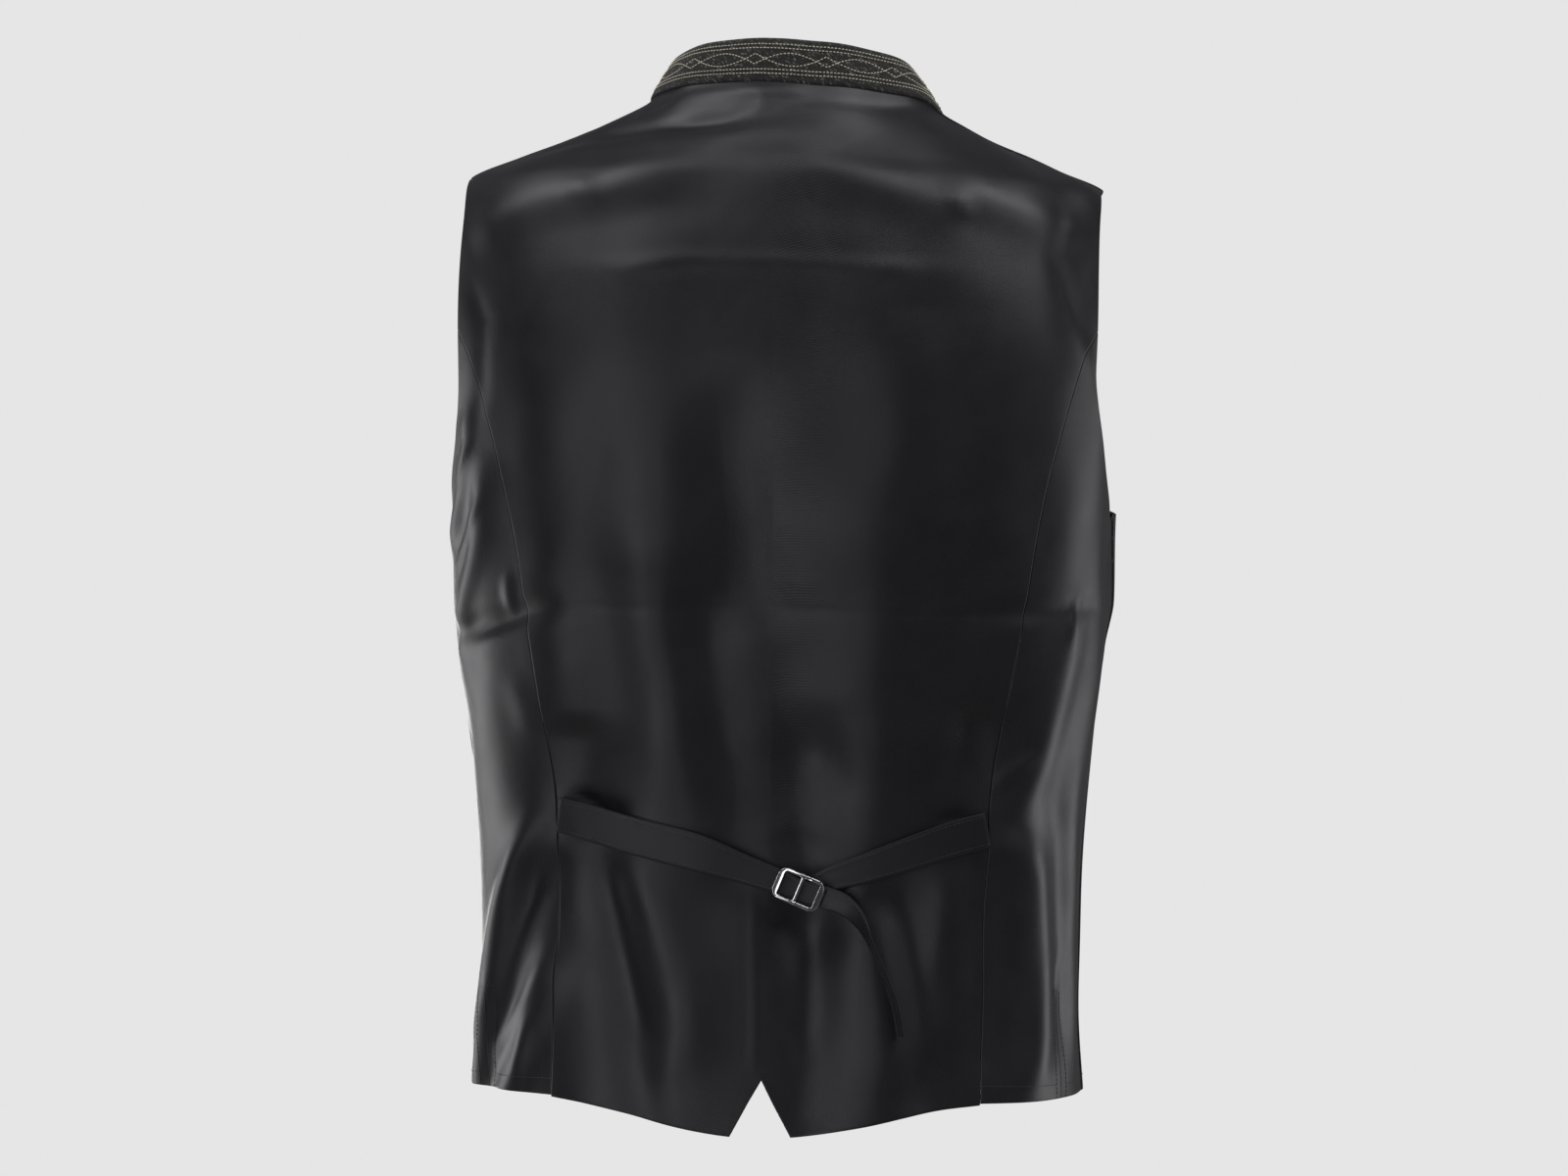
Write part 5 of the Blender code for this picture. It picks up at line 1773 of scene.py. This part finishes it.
def front_neck(form: BodyForm, angle: Array) -> tuple[Array, Array]:
    """The neck edge of a front.

    Args:
        form: The body form.
        angle: 0 at the centre front, a quarter circle at the neck point, and less than 0 in the lap.

    Returns:
        Turns and heights.
    """
    wide = float(form.part["half_width"](NECK_SIDE))
    height = np.where(angle < 0, NECK_FRONT, lerp(NECK_FRONT, NECK_SIDE, np.sin(np.maximum(angle, 0)) ** 2))
    turn = form.turn_at(wide * np.abs(np.sin(angle)), height)
    return np.where(angle < 0, 2 + turn, 2 - turn), height


# ---------------------------------------------------------------- the collar


@dataclass
class Collar:
    """The wool stand collar with its stitched ornament."""

    form: BodyForm
    wardrobe: Wardrobe
    tall: float = 27.0
    lean_back: float = 0.28
    lean_side: float = 0.64
    corner: float = 14.0
    end: float = 1.2
    tuck: float = 2.2
    step: float = 1.7
    cut: Cut = Cut(0.54, 0.030, 0.016)

    def neck_line(self, turn: Array) -> tuple[Array, Array]:
        """Turns and heights of the neck edge, from 0 at the centre back to 2 at the centre front."""
        front_turn, front_height = front_neck(self.form, (2 - turn) * math.pi / 2)
        behind = turn <= 1
        back_height = lerp(NECK_BACK, NECK_SIDE, np.minimum(turn, 1) ** 3)
        return np.where(behind, turn, front_turn), np.where(behind, back_height, front_height)

    def neck_edge(self, turn: Array) -> Array:
        """Points of the panels' inner face at the neck edge."""
        flat, height = self.neck_line(np.abs(turn))
        out = np.where(turn > 1, lap_lift(self.form, flat, height), 0.0)
        return self.form.cloth(np.copysign(flat, turn), height, out)

    def feet(self, turn: Array) -> tuple[Array, Array]:
        """The collar's foot, and the direction in which it stands.

        Args:
            turn: Turns round the neck.

        Returns:
            Foot points and rising directions.
        """
        step = 0.01
        along = self.neck_edge(np.minimum(2.0, turn + step)) - self.neck_edge(np.maximum(-2.0, turn - step))
        edge = self.neck_edge(turn)
        flat, height = self.neck_line(np.abs(turn))
        outward = self.form.normal(np.copysign(flat, turn), height)
        upward = unit(np.cross(outward, along))
        upward = np.where(upward[:, 2:] < 0, -upward, upward)
        face = unit(edge * LEVEL)
        clear = COLLAR_CLOTH * np.maximum(0.0, -np.sum(face * upward, -1))
        seat = edge + upward * clear[:, None]
        shift = np.full_like(turn, self.form.lean["shift"](NECK_SIDE))
        middle = np.stack([shift, np.zeros_like(turn), seat[:, 2]], -1)
        lean = lerp(self.lean_back, self.lean_side, np.sin(np.abs(turn) * math.pi / 2) ** 2)
        return seat, unit(np.array([0, 0, 1]) + unit(middle - seat) * lean[:, None])

    def build(self) -> None:
        """The collar as one closed wall with round front corners."""
        last = 2 - self.end / 62
        fine = np.linspace(-last, last, 1200)
        seat, _ = self.feet(fine)
        lengths = np.concatenate([[0], np.cumsum(np.linalg.norm(np.diff(seat, axis=0), axis=-1))])
        whole = lengths[-1]
        even = np.arange(0, whole, self.step)
        near = np.concatenate([np.array([0, 0.3, 0.8, 1.4, 2.2, 3.2, 4.4]), even[even > 5.4]])
        near = np.concatenate([near[near < whole / 2], whole - near[near < whole / 2][::-1]])
        turn = np.interp(near, lengths, fine)
        seat, rise = self.feet(turn)
        from_end = np.minimum(near, whole - near)
        short = self.corner - np.minimum(from_end, self.corner)
        tall = self.tall - self.corner + np.sqrt(np.maximum(0.0, self.corner**2 - short**2))
        share = divided(self.tall, 1.5)
        seat = seat - rise * self.tuck
        tall = tall + self.tuck
        outward = unit(seat * LEVEL)
        points = (
            seat[:, None]
            + rise[:, None] * (tall[:, None] * share)[..., None]
            + outward[:, None] * (np.sin(share * math.pi) * 0.6)[None, :, None]
        )
        thick = np.full(points.shape[:2], COLLAR_CLOTH)
        for side, at_last in ((0, False), (0, True), (1, True)):
            far = edge_distance(points, side, at_last)
            thick = np.minimum(thick, COLLAR_CLOTH * lerp(0.3, 1.0, np.sqrt(smooth(far / 2.2))))
        lift = (COLLAR_CLOTH - thick) / 2
        foot = edge_distance(points, 1, False)
        thick = np.minimum(thick, COLLAR_CLOTH * lerp(0.8, 1.0, smooth(foot / 1.2)))
        grid = ClothGrid(points, thick, lift)
        mesh = wall_mesh("collar_cloth", grid)
        piece = placed("collar_cloth", mesh, self.wardrobe.slots[Finish.COLLAR_WOOL])
        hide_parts("collar")
        ornament = CollarOrnament(grid, share).build(self.wardrobe)


@dataclass
class CollarOrnament:
    """Two double rows of stitches, with long lenses and small diamonds between them."""

    grid: ClothGrid
    shares: Array
    upper_rows: tuple[float, float] = (0.845, 0.755)
    lower_rows: tuple[float, float] = (0.275, 0.185)
    middle: float = 0.505
    period: float = 44.0
    diamond_width: float = 12.5
    diamond_height: float = 6.4
    lens_height: float = 7.8
    phase: float = 0.6
    tall: float = 27.0
    lower_end: float = 6.0
    upper_end: float = 14.0
    chain_end: float = 9.0

    def wave(self, along: Array) -> Array:
        """How far one thread of the chain lies from the middle: over it in diamonds, under it in lenses.

        Args:
            along: Lengths from the centre back.

        Returns:
            The first thread's distance from the middle line; the second thread mirrors it.
        """
        place = (along / self.period + self.phase) % 1.0
        edge = self.diamond_width / self.period
        in_diamond = place < edge
        diamond = (1 - np.abs(2 * place / edge - 1)) * self.diamond_height / 2
        lens = np.sin(math.pi * (place - edge) / (1 - edge)) * self.lens_height / 2
        return np.where(in_diamond, diamond, -np.abs(lens))

    def line(self, columns: Array, height: Array) -> tuple[Array, Array]:
        """Points over the collar's face at those columns and shares of its height."""
        rows = np.interp(height, self.shares, np.arange(len(self.shares)))
        return self.grid.outer(columns, rows, 0.02)

    def build(self, wardrobe: Wardrobe) -> bpy.types.Object:
        """All stitches of the ornament as one piece.

        Args:
            wardrobe: The vest's materials.

        Returns:
            The piece.
        """
        middle_row = self.grid.points.shape[1] // 2
        arc = self.grid.across[:, middle_row]
        whole = arc[-1]
        along = np.linspace(self.lower_end, whole - self.lower_end, 2600)
        columns = np.interp(along, arc, np.arange(len(arc)))
        work = ThreadWork()
        for height in self.upper_rows + self.lower_rows:
            limit = self.upper_end if height > self.middle else self.lower_end
            keep = (along > limit) & (along < whole - limit)
            line, outward = self.line(columns[keep], np.full(keep.sum(), height))
            work.run(line, outward, ORNAMENT_STITCH)
        wave = self.wave(along - whole / 2) / self.tall
        keep = (along > self.chain_end) & (along < whole - self.chain_end)
        for hand in (-1, 1):
            line, outward = self.line(columns[keep], self.middle + hand * wave[keep])
            work.run(line, outward, ORNAMENT_STITCH)
        return placed("collar_ornament", work.mesh("collar_ornament"), wardrobe.cream_thread)


# ---------------------------------------------------------------- the straps and the buckle

# Distance from the centre (left is plus), height, width, distance off the folds, and twist in degrees
LEFT_STRAP = (
    (131.5, -444, 22, 0.5, 0),
    (112, -448, 22.5, 0.5, 0),
    (80, -456.5, 23, 0.5, 0),
    (46, -465, 23, 0.6, 0),
    (20, -474, 18.5, 1.0, 0),
    (-5, -483, 15, 3.2, 0),
    (-19, -489, 13.5, 4.9, 0),
    (-34, -493, 13.5, 5.4, 0),
    (-46, -497, 13, 5.4, 10),
    (-55, -505, 12, 5.9, 40),
    (-62, -518, 11.5, 6.6, 72),
    (-70, -536, 11, 6.6, 80),
    (-78, -556, 10.5, 6.4, 82),
    (-83, -578, 10, 6.2, 82),
)
RIGHT_STRAP = (
    (-131.5, -452, 22, 0.5, 0),
    (-112, -457, 22, 0.5, 0),
    (-86, -466, 20.5, 0.5, 0),
    (-60, -475, 18, 0.5, 0),
    (-42, -481, 15.5, 0.5, 0),
    (-30, -486, 13.5, 0.3, 0),
)


@dataclass
class Strap:
    """One half of the cinch strap: a flat satin band with a stitched edge."""

    form: BodyForm
    wardrobe: Wardrobe
    name: str
    table: tuple[tuple[float, ...], ...]
    cut: Cut
    per_station: int = 14
    rows: int = 9

    def __post_init__(self) -> None:
        """Reads the table at close steps."""
        knots = np.arange(len(self.table), dtype=float)
        at = np.linspace(0, len(self.table) - 1, (len(self.table) - 1) * self.per_station + 1)
        values = [SmoothCurve(knots, [row[k] for row in self.table])(at) for k in range(5)]
        self.across, self.height, self.width, self.off, self.twist = values

    def turn(self) -> Array:
        """The turn of each station."""
        return np.copysign(self.form.turn_at(np.abs(self.across), self.height), self.across)

    def rises(self) -> Array:
        """How far off the form the taut band lies: over the folds' crests, bridging the hollows."""
        turn = self.turn()
        crest = np.max(
            [self.form.rise(turn, self.height + self.width * e) for e in (-0.6, -0.3, 0, 0.3, 0.6)], axis=0
        )
        reach = self.per_station
        padded = np.pad(crest, reach, mode="edge")
        held = np.max([padded[k : k + len(crest)] for k in range(2 * reach + 1)], axis=0)
        padded = np.pad(held, reach, mode="edge")
        eased = np.mean([padded[k : k + len(crest)] for k in range(2 * reach + 1)], axis=0)
        return SATIN + eased + self.off

    def grid(self) -> ClothGrid:
        """The band's grid, drawn into low pleats where it narrows.

        Returns:
            The grid.
        """
        turn = self.turn()
        outward = self.form.normal(turn, self.height)
        rises = self.rises()
        middle = self.form.leaned(self.form.point(turn, self.height) + outward * rises[:, None])
        ahead = unit(np.gradient(middle, axis=0))
        across = unit(np.cross(outward, ahead))
        across = np.where(across[:, 2:] < 0, -across, across)
        angle = np.radians(self.twist)[:, None]
        turned = across * np.cos(angle) + np.cross(ahead, across) * np.sin(angle)
        share = divided(22.0, 22.0 / self.rows) - 0.5
        points = middle[:, None] + turned[:, None] * (self.width[:, None] * share)[..., None]
        narrow = smooth((21 - self.width) / 8) * smooth((8 - np.abs(self.twist)) / 8)
        face = unit(np.cross(turned, ahead))
        face = np.where(np.sum(face * outward, -1, keepdims=True) < 0, -face, face)
        pleat = narrow[:, None] * 0.45 * (np.cos(share * math.tau * 2.1) - 1) / 2
        thick = np.full(points.shape[:2], STRAP_CLOTH)
        for side, last in ((0, False), (0, True), (1, False), (1, True)):
            far = edge_distance(points, side, last)
            thick = np.minimum(thick, STRAP_CLOTH * lerp(0.35, 1.0, np.sqrt(smooth(far / 1.3))))
        lifted = points + face[:, None] * (0.2 + pleat[..., None] * 0.4)
        grid = ClothGrid(lifted, thick, (STRAP_CLOTH - thick) / 2)
        if np.sum(grid.outward * face[:, None]) < 0:
            grid.outward = -grid.outward
        return grid

    def build(self) -> None:
        """The band with stitched edges."""
        grid, satin = self.grid(), self.wardrobe.slots[Finish.STRAP_SATIN]
        cloth, thread = f"{self.name}_cloth", f"{self.name}_stitching"
        piece = placed(cloth, wall_mesh(cloth, grid), satin)
        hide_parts(self.name)
        work = ThreadWork()
        columns = np.linspace(0.5, grid.points.shape[0] - 1.5, 500)
        for row in (4.0, grid.points.shape[1] - 5.0):
            work.follow(grid, columns, row, 0.03)
        stitching = placed(thread, work.mesh(thread), self.wardrobe.black_thread)


@dataclass
class Buckle:
    """A polished slide buckle: a bowed frame with rounded ends and a bar across its middle."""

    form: BodyForm
    wardrobe: Wardrobe
    rise: float
    at: tuple[float, float] = (-19.0, -488.0)
    length: float = 30.0
    width: float = 19.0
    plate: float = 1.1
    bevel: float = 0.5
    end_bar: float = 3.3
    rail: float = 1.35
    prong: float = 1.3
    tilt: float = math.radians(-23)
    bow: float = 1.1
    sunk: float = 0.35

    def outline(self, length: float, width: float, radius: float, steps: int) -> list[tuple[float, float]]:
        """Points of a rectangle with round corners, anticlockwise, close enough to be bowed.

        Args:
            length: Its length.
            width: Its width.
            radius: The corners' radius.
            steps: Points in each corner.

        Returns:
            The points.
        """
        corners = []
        for corner in range(4):
            cx = (length / 2 - radius) * (1 if corner in (0, 3) else -1)
            cy = (width / 2 - radius) * (1 if corner in (0, 1) else -1)
            for k in range(steps + 1):
                angle = math.pi / 2 * (corner + k / steps)
                corners.append((cx + radius * math.cos(angle), cy + radius * math.sin(angle)))
        points = []
        for a, b in zip(corners, corners[1:] + corners[:1]):
            count = max(1, round(math.dist(a, b) / 1.2))
            points += [(lerp(a[0], b[0], k / count), lerp(a[1], b[1], k / count)) for k in range(count)]
        return points

    def build(self) -> None:
        """The buckle as one closed body."""
        curve = bpy.data.curves.new("buckle_outline", "CURVE")
        curve.dimensions = "2D"
        curve.fill_mode = "BOTH"
        curve.extrude = (self.plate / 2 - 0.05) * MM
        curve.bevel_depth = self.bevel * MM
        curve.bevel_resolution = 4
        window = (self.length - 2 * self.end_bar - self.prong) / 2
        shapes = [(self.outline(self.length - 0.2, self.width - 0.2, 5.4, 9), 0.0)]
        for side in (-1, 1):
            hole = self.outline(window + 0.2, self.width - 2 * self.rail + 0.2, 1.6, 5)
            shapes.append((hole, side * (window + self.prong) / 2))
        for outline, shift in shapes:
            spline = curve.splines.new("POLY")
            spline.points.add(len(outline) - 1)
            for point, (x, y) in zip(spline.points, outline):
                point.co = ((x + shift) * MM, y * MM, 0, 1)
            spline.use_cyclic_u = True
        flat = bpy.data.objects.new("buckle_outline", curve)
        bpy.context.scene.collection.objects.link(flat)
        bpy.context.view_layer.update()
        mesh = bpy.data.meshes.new_from_object(flat.evaluated_get(bpy.context.evaluated_depsgraph_get()))
        bpy.data.objects.remove(flat)
        self.bend(mesh)
        turn = math.copysign(float(self.form.turn_at(abs(self.at[0]), self.at[1])), self.at[0])
        outward = self.form.normal(np.array([turn]), np.array([self.at[1]]))[0]
        centre = self.form.point(np.array([turn]), np.array([self.at[1]])) + outward * self.rise
        centre = Vector(self.form.leaned(centre)[0])
        out = Vector(outward)
        upward = (Vector((0, 0, 1)) - out * out.z).normalized()
        turned = Matrix((upward.cross(out), upward, out)).transposed().to_4x4()
        mesh.transform(
            Matrix.Translation((centre + out * (self.plate / 2 + 0.35)) * MM)
            @ turned
            @ Matrix.Rotation(self.tilt, 4, "Z")
        )
        mesh.shade_smooth()
        mesh.set_sharp_from_angle(angle=math.radians(40))
        piece = placed("buckle_frame", mesh, self.wardrobe.slots[Finish.BUCKLE_METAL])
        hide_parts("buckle")

    def bend(self, mesh: bpy.types.Mesh) -> None:
        """Welds the frame, bows its ends back towards the cloth and sinks its middle bar a little.

        Args:
            mesh: The frame's mesh, changed in place.
        """
        work = bmesh.new()
        work.from_mesh(mesh)
        bmesh.ops.remove_doubles(work, verts=work.verts, dist=1e-6)
        for vert in work.verts:
            share = vert.co.x / (self.length / 2 * MM)
            vert.co.z -= self.bow * MM * share**2 - self.bow * 0.45 * MM
            if abs(vert.co.x) < self.prong * MM and abs(vert.co.y) < (self.width / 2 - self.rail) * MM:
                vert.co.z -= self.sunk * MM
        work.to_mesh(mesh)
        work.free()
        mesh.materials.clear()


# ---------------------------------------------------------------- the buttons


@dataclass
class Buttons:
    """Seven horn buttons with four holes, sewn on with crossed thread, and their buttonholes."""

    form: BodyForm
    wardrobe: Wardrobe
    count: int = 7
    first: float = -98.0
    last: float = -562.0
    sides: int = 48
    hole_radius: float = 0.85
    hole_reach: float = 1.9
    profile: tuple[tuple[float, float], ...] = (
        (0.0, 2.35),
        (3.4, 2.45),
        (4.4, 2.62),
        (5.2, 3.05),
        (6.2, 3.42),
        (7.2, 3.5),
        (8.1, 3.3),
        (8.75, 2.8),
        (9.0, 2.2),
        (8.85, 1.6),
        (8.3, 1.1),
        (5.6, 0.75),
        (3.2, 0.6),
        (3.0, 0.0),
        (0.0, 0.0),
    )

    def heights(self) -> Array:
        """The height of each button."""
        return np.linspace(self.first, self.last, self.count)

    def button_mesh(self) -> bpy.types.Mesh:
        """A turned button with four sunk holes.

        Returns:
            The mesh, lying flat at the origin.
        """
        radii = np.array([p[0] for p in self.profile])
        tall = np.array([p[1] for p in self.profile])
        # closer rings over the holes, so that they can be pressed in
        extra = np.linspace(0.4, 3.3, 12)
        rings = [(r, float(np.interp(r, radii[:2], tall[:2]))) for r in extra]
        rings = [self.profile[0]] + rings + list(self.profile[1:])
        angle = np.arange(self.sides) * math.tau / self.sides
        points = np.array([[(r * math.cos(a), r * math.sin(a), z) for a in angle] for r, z in rings])
        for k in range(4):
            spot = math.tau * (k + 0.5) / 4
            hole = np.array([math.cos(spot), math.sin(spot)]) * self.hole_reach
            far = np.linalg.norm(points[: len(extra) + 1, :, :2] - hole, axis=-1)
            points[: len(extra) + 1, :, 2] -= 1.5 * smooth((self.hole_radius - far) / 0.35 + 0.5)
        mesh = bpy.data.meshes.new("button")
        many = len(rings)
        index = np.arange(many * self.sides).reshape(many, self.sides)
        wrapped = np.roll(index, -1, axis=1)
        faces = np.stack([index[:-1], index[1:], wrapped[1:], wrapped[:-1]], -1).reshape(-1, 4)
        mesh.from_pydata((points.reshape(-1, 3) * MM).tolist(), [], faces.tolist())
        work = bmesh.new()
        work.from_mesh(mesh)
        bmesh.ops.remove_doubles(work, verts=work.verts, dist=1e-6)
        bmesh.ops.recalc_face_normals(work, faces=work.faces)
        work.to_mesh(mesh)
        work.free()
        mesh.shade_smooth()
        return mesh

    def build(self) -> None:
        """All buttons, the thread that holds them and the buttonholes' stitches."""
        shape = self.button_mesh()
        thread, holes = ThreadWork(), ThreadWork()
        for k, height in enumerate(self.heights()):
            centre_turn, at = np.array([2.0]), np.array([height])
            outward = Vector(self.form.normal(centre_turn, at)[0])
            seat = Vector(self.form.cloth(centre_turn, at, LAP_LIFT + WOOL + BUTTON_GAP)[0])
            frame = Matrix.Translation(seat * MM) @ outward.to_track_quat("Z", "Y").to_matrix().to_4x4()
            mesh = shape.copy()
            mesh.transform(frame)
            name = f"button_{k + 1}"
            piece = placed(f"{name}_horn", mesh, self.wardrobe.slots[Finish.BUTTON_HORN])
            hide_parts(name)
            self.cross_thread(thread, seat, frame, outward)
            self.buttonhole(holes, float(height))
        placed("button_thread", thread.mesh("button_thread"), self.wardrobe.black_thread)
        placed("buttonhole_stitching", holes.mesh("buttonhole_stitching"), self.wardrobe.black_thread)

    def cross_thread(self, work: ThreadWork, seat: Vector, frame: Matrix, outward: Vector) -> None:
        """Lays two crossed threads from hole to hole over a button.

        Args:
            work: The thread they go to.
            seat: The button's foot.
            frame: How the button is turned.
            outward: The direction away from the front.
        """
        turned = frame.to_3x3()
        for k, extra in ((0, 0.0), (1, 0.35)):
            spot = math.tau * (k + 0.5) / 4
            arm = turned @ Vector((math.cos(spot), math.sin(spot), 0)) * self.hole_reach
            over = seat + outward * (2.2 + extra)
            shape = StitchShape(2 * self.hole_reach, 1.0, 0.42, 0.35)
            work.add(np.array([over - arm]), np.array([over + arm]), np.array([outward]), shape)

    def buttonhole(self, work: ThreadWork, height: float) -> None:
        """Whips the edge of one buttonhole, which runs across from the button towards the lap edge.

        Args:
            work: The thread the stitches go to.
            height: The button's height.
        """
        wide = float(self.form.part["half_width"](height))
        steps = np.arange(-9.5, 11.0, BUTTONHOLE_STITCH.pitch)
        turn = 2.0 - steps / wide * 2 / math.pi
        level = np.full_like(turn, height)
        outward = self.form.normal(turn, level)
        for hand in (-1, 1):
            near = self.form.cloth(turn, level + hand * 0.5, LAP_LIFT + WOOL + 0.05)
            far = self.form.cloth(turn, level + hand * 2.4, LAP_LIFT + WOOL + 0.05)
            work.add(near, far, outward, StitchShape(1.9, 0.8, 0.3, 0.2))


# ---------------------------------------------------------------- the studio


@dataclass(frozen=True)
class Softbox:
    """An area light: where it stands, what it looks at, its size and its power in watts."""

    name: str
    at: tuple[float, float, float]
    look: tuple[float, float, float]
    size: tuple[float, float]
    power: float


@dataclass
class Studio:
    """The pale floor, the lights and the camera."""

    photo_width: int = 1600
    mm_per_pixel: float = 0.62
    distance: float = 3.0
    azimuth: float = math.radians(185)
    axis_shift: float = 0.0031
    camera_height: float = -0.304
    sensor: float = 36.0
    floor_height: float = -1.45
    floor_radius: float = 5.0
    floor_glow: float = 0.52
    backdrop: float = 0.79
    ambient: float = 0.075
    boxes: tuple[Softbox, ...] = (
        Softbox("top strip", (0.0, 0.75, 1.9), (0, 0.05, -0.1), (1.6, 0.5), 8),
        Softbox("upper left", (1.45, 0.5, 1.75), (0.1, 0.05, -0.15), (1.2, 0.6), 17),
        Softbox("upper right", (-1.25, 0.5, 1.75), (-0.1, 0.05, -0.15), (1.0, 0.6), 16),
        Softbox("left rear", (2.1, -0.9, -0.7), (0.1, 0, -0.45), (1.1, 1.3), 14),
        Softbox("right rear", (-2.1, -0.8, -0.8), (-0.1, 0, -0.5), (1.0, 1.3), 11),
        Softbox("left key", (1.7, 2.45, -0.5), (0, 0.1, -0.35), (0.5, 1.7), 10),
        Softbox("middle key", (0.50, 3.1, -0.55), (0, 0.1, -0.35), (0.3, 1.7), 6),
        Softbox("right key", (-1.2, 2.7, -0.4), (0, 0.1, -0.35), (0.7, 1.5), 0.9),
        Softbox("right side", (-2.3, 1.3, 0.9), (0, 0.1, -0.5), (0.5, 0.7), 7),
        Softbox("front fill", (0.9, -2.7, -0.8), (0, 0, -0.35), (1.4, 1.0), 20),
    )

    def build(self) -> None:
        """Sets the whole studio."""
        self.set_floor()
        self.set_world()
        for box in self.boxes:
            self.set_box(box)
        self.set_camera()
        bpy.context.scene.view_settings.view_transform = "Standard"

    def set_floor(self) -> None:
        """A round pale floor, well under the vest."""
        mesh = bpy.data.meshes.new("floor")
        work = bmesh.new()
        bmesh.ops.create_circle(work, cap_ends=True, segments=96, radius=self.floor_radius)
        work.to_mesh(mesh)
        work.free()
        mesh.transform(Matrix.Translation((0, 0, self.floor_height)))
        made, board, shader = new_material("pale_floor")
        place = board.add("ShaderNodeTexCoord").outputs["Object"]
        tone = board.noise(place, 3.0, 3.0)
        pale = board.mix(tone, (0.30, 0.30, 0.295, 1), (0.34, 0.34, 0.335, 1))
        board.feed(pale, shader.inputs["Base Color"])
        seen = board.add("ShaderNodeLightPath").outputs["Is Camera Ray"]
        shader.inputs["Emission Color"].default_value = (1.0, 1.0, 0.99, 1)
        board.feed(board.math("MULTIPLY", seen, self.floor_glow), shader.inputs["Emission Strength"])
        shader.inputs["Roughness"].default_value = 0.85
        floor = bpy.data.objects.new("floor", mesh)
        mesh.materials.append(made)
        bpy.context.scene.collection.objects.link(floor)

    def set_world(self) -> None:
        """A pale backdrop to the camera, and a dimmer even light on the vest."""
        world = bpy.data.worlds.new("studio")
        bpy.context.scene.world = world
        world.use_nodes = True
        board = NodeBoard(world.node_tree)
        back = world.node_tree.nodes["Background"]
        seen = board.add("ShaderNodeLightPath").outputs["Is Camera Ray"]
        back.inputs["Color"].default_value = (1.0, 1.0, 1.0, 1)
        strength = board.math("MULTIPLY_ADD", seen, self.backdrop - self.ambient, self.ambient)
        board.feed(strength, back.inputs["Strength"])

    def set_box(self, box: Softbox) -> None:
        """One area light.

        Args:
            box: Its place, size and power.
        """
        light = bpy.data.lights.new(box.name, "AREA")
        light.shape = "RECTANGLE"
        light.size, light.size_y = box.size
        light.energy = box.power
        lamp = bpy.data.objects.new(box.name, light)
        lamp.location = box.at
        lamp.visible_camera = False
        lamp.rotation_euler = (Vector(box.look) - Vector(box.at)).to_track_quat("-Z", "Y").to_euler()
        bpy.context.scene.collection.objects.link(lamp)

    def set_camera(self) -> None:
        """The camera, level and almost straight behind the wearer."""
        data = bpy.data.cameras.new("camera")
        width = self.photo_width * self.mm_per_pixel * MM
        data.sensor_width = self.sensor
        data.lens = self.sensor * self.distance / width
        data.clip_end = 50
        camera = bpy.data.objects.new("camera", data)
        toward = Vector((math.sin(self.azimuth), -math.cos(self.azimuth), 0))
        rightward = Vector((math.cos(self.azimuth), math.sin(self.azimuth), 0))
        camera.location = toward * self.distance + rightward * self.axis_shift
        camera.location.z = self.camera_height
        camera.rotation_euler = (-toward).to_track_quat("-Z", "Y").to_euler()
        bpy.context.scene.collection.objects.link(camera)
        bpy.context.scene.camera = camera


# ---------------------------------------------------------------- the whole vest


def main() -> None:
    """Builds and dresses the vest, piece by piece."""
    logging.basicConfig(level=logging.INFO, format="%(name)s: %(message)s")
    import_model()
    form, wardrobe = BodyForm(), Wardrobe()
    Studio().build()
    Back(form, wardrobe).build()
    for hand in (1, -1):
        Side(form, wardrobe, hand=hand).build()
    for hand in (1, -1):
        Front(form, wardrobe, hand=hand).build()
    Collar(form, wardrobe).build()
    left = Strap(form, wardrobe, "strap_left", LEFT_STRAP, Cut(0.30, 0.024, 0.0055))
    right = Strap(form, wardrobe, "strap_right", RIGHT_STRAP, Cut(0.13, 0.024, 0.0024))
    left.build()
    right.build()
    buckle_at = np.abs(left.across + 19.0) < 18
    Buckle(form, wardrobe, float(left.rises()[buckle_at].max()) + STRAP_CLOTH + 0.45).build()
    Buttons(form, wardrobe).build()


if __name__ == "__main__":
    main()
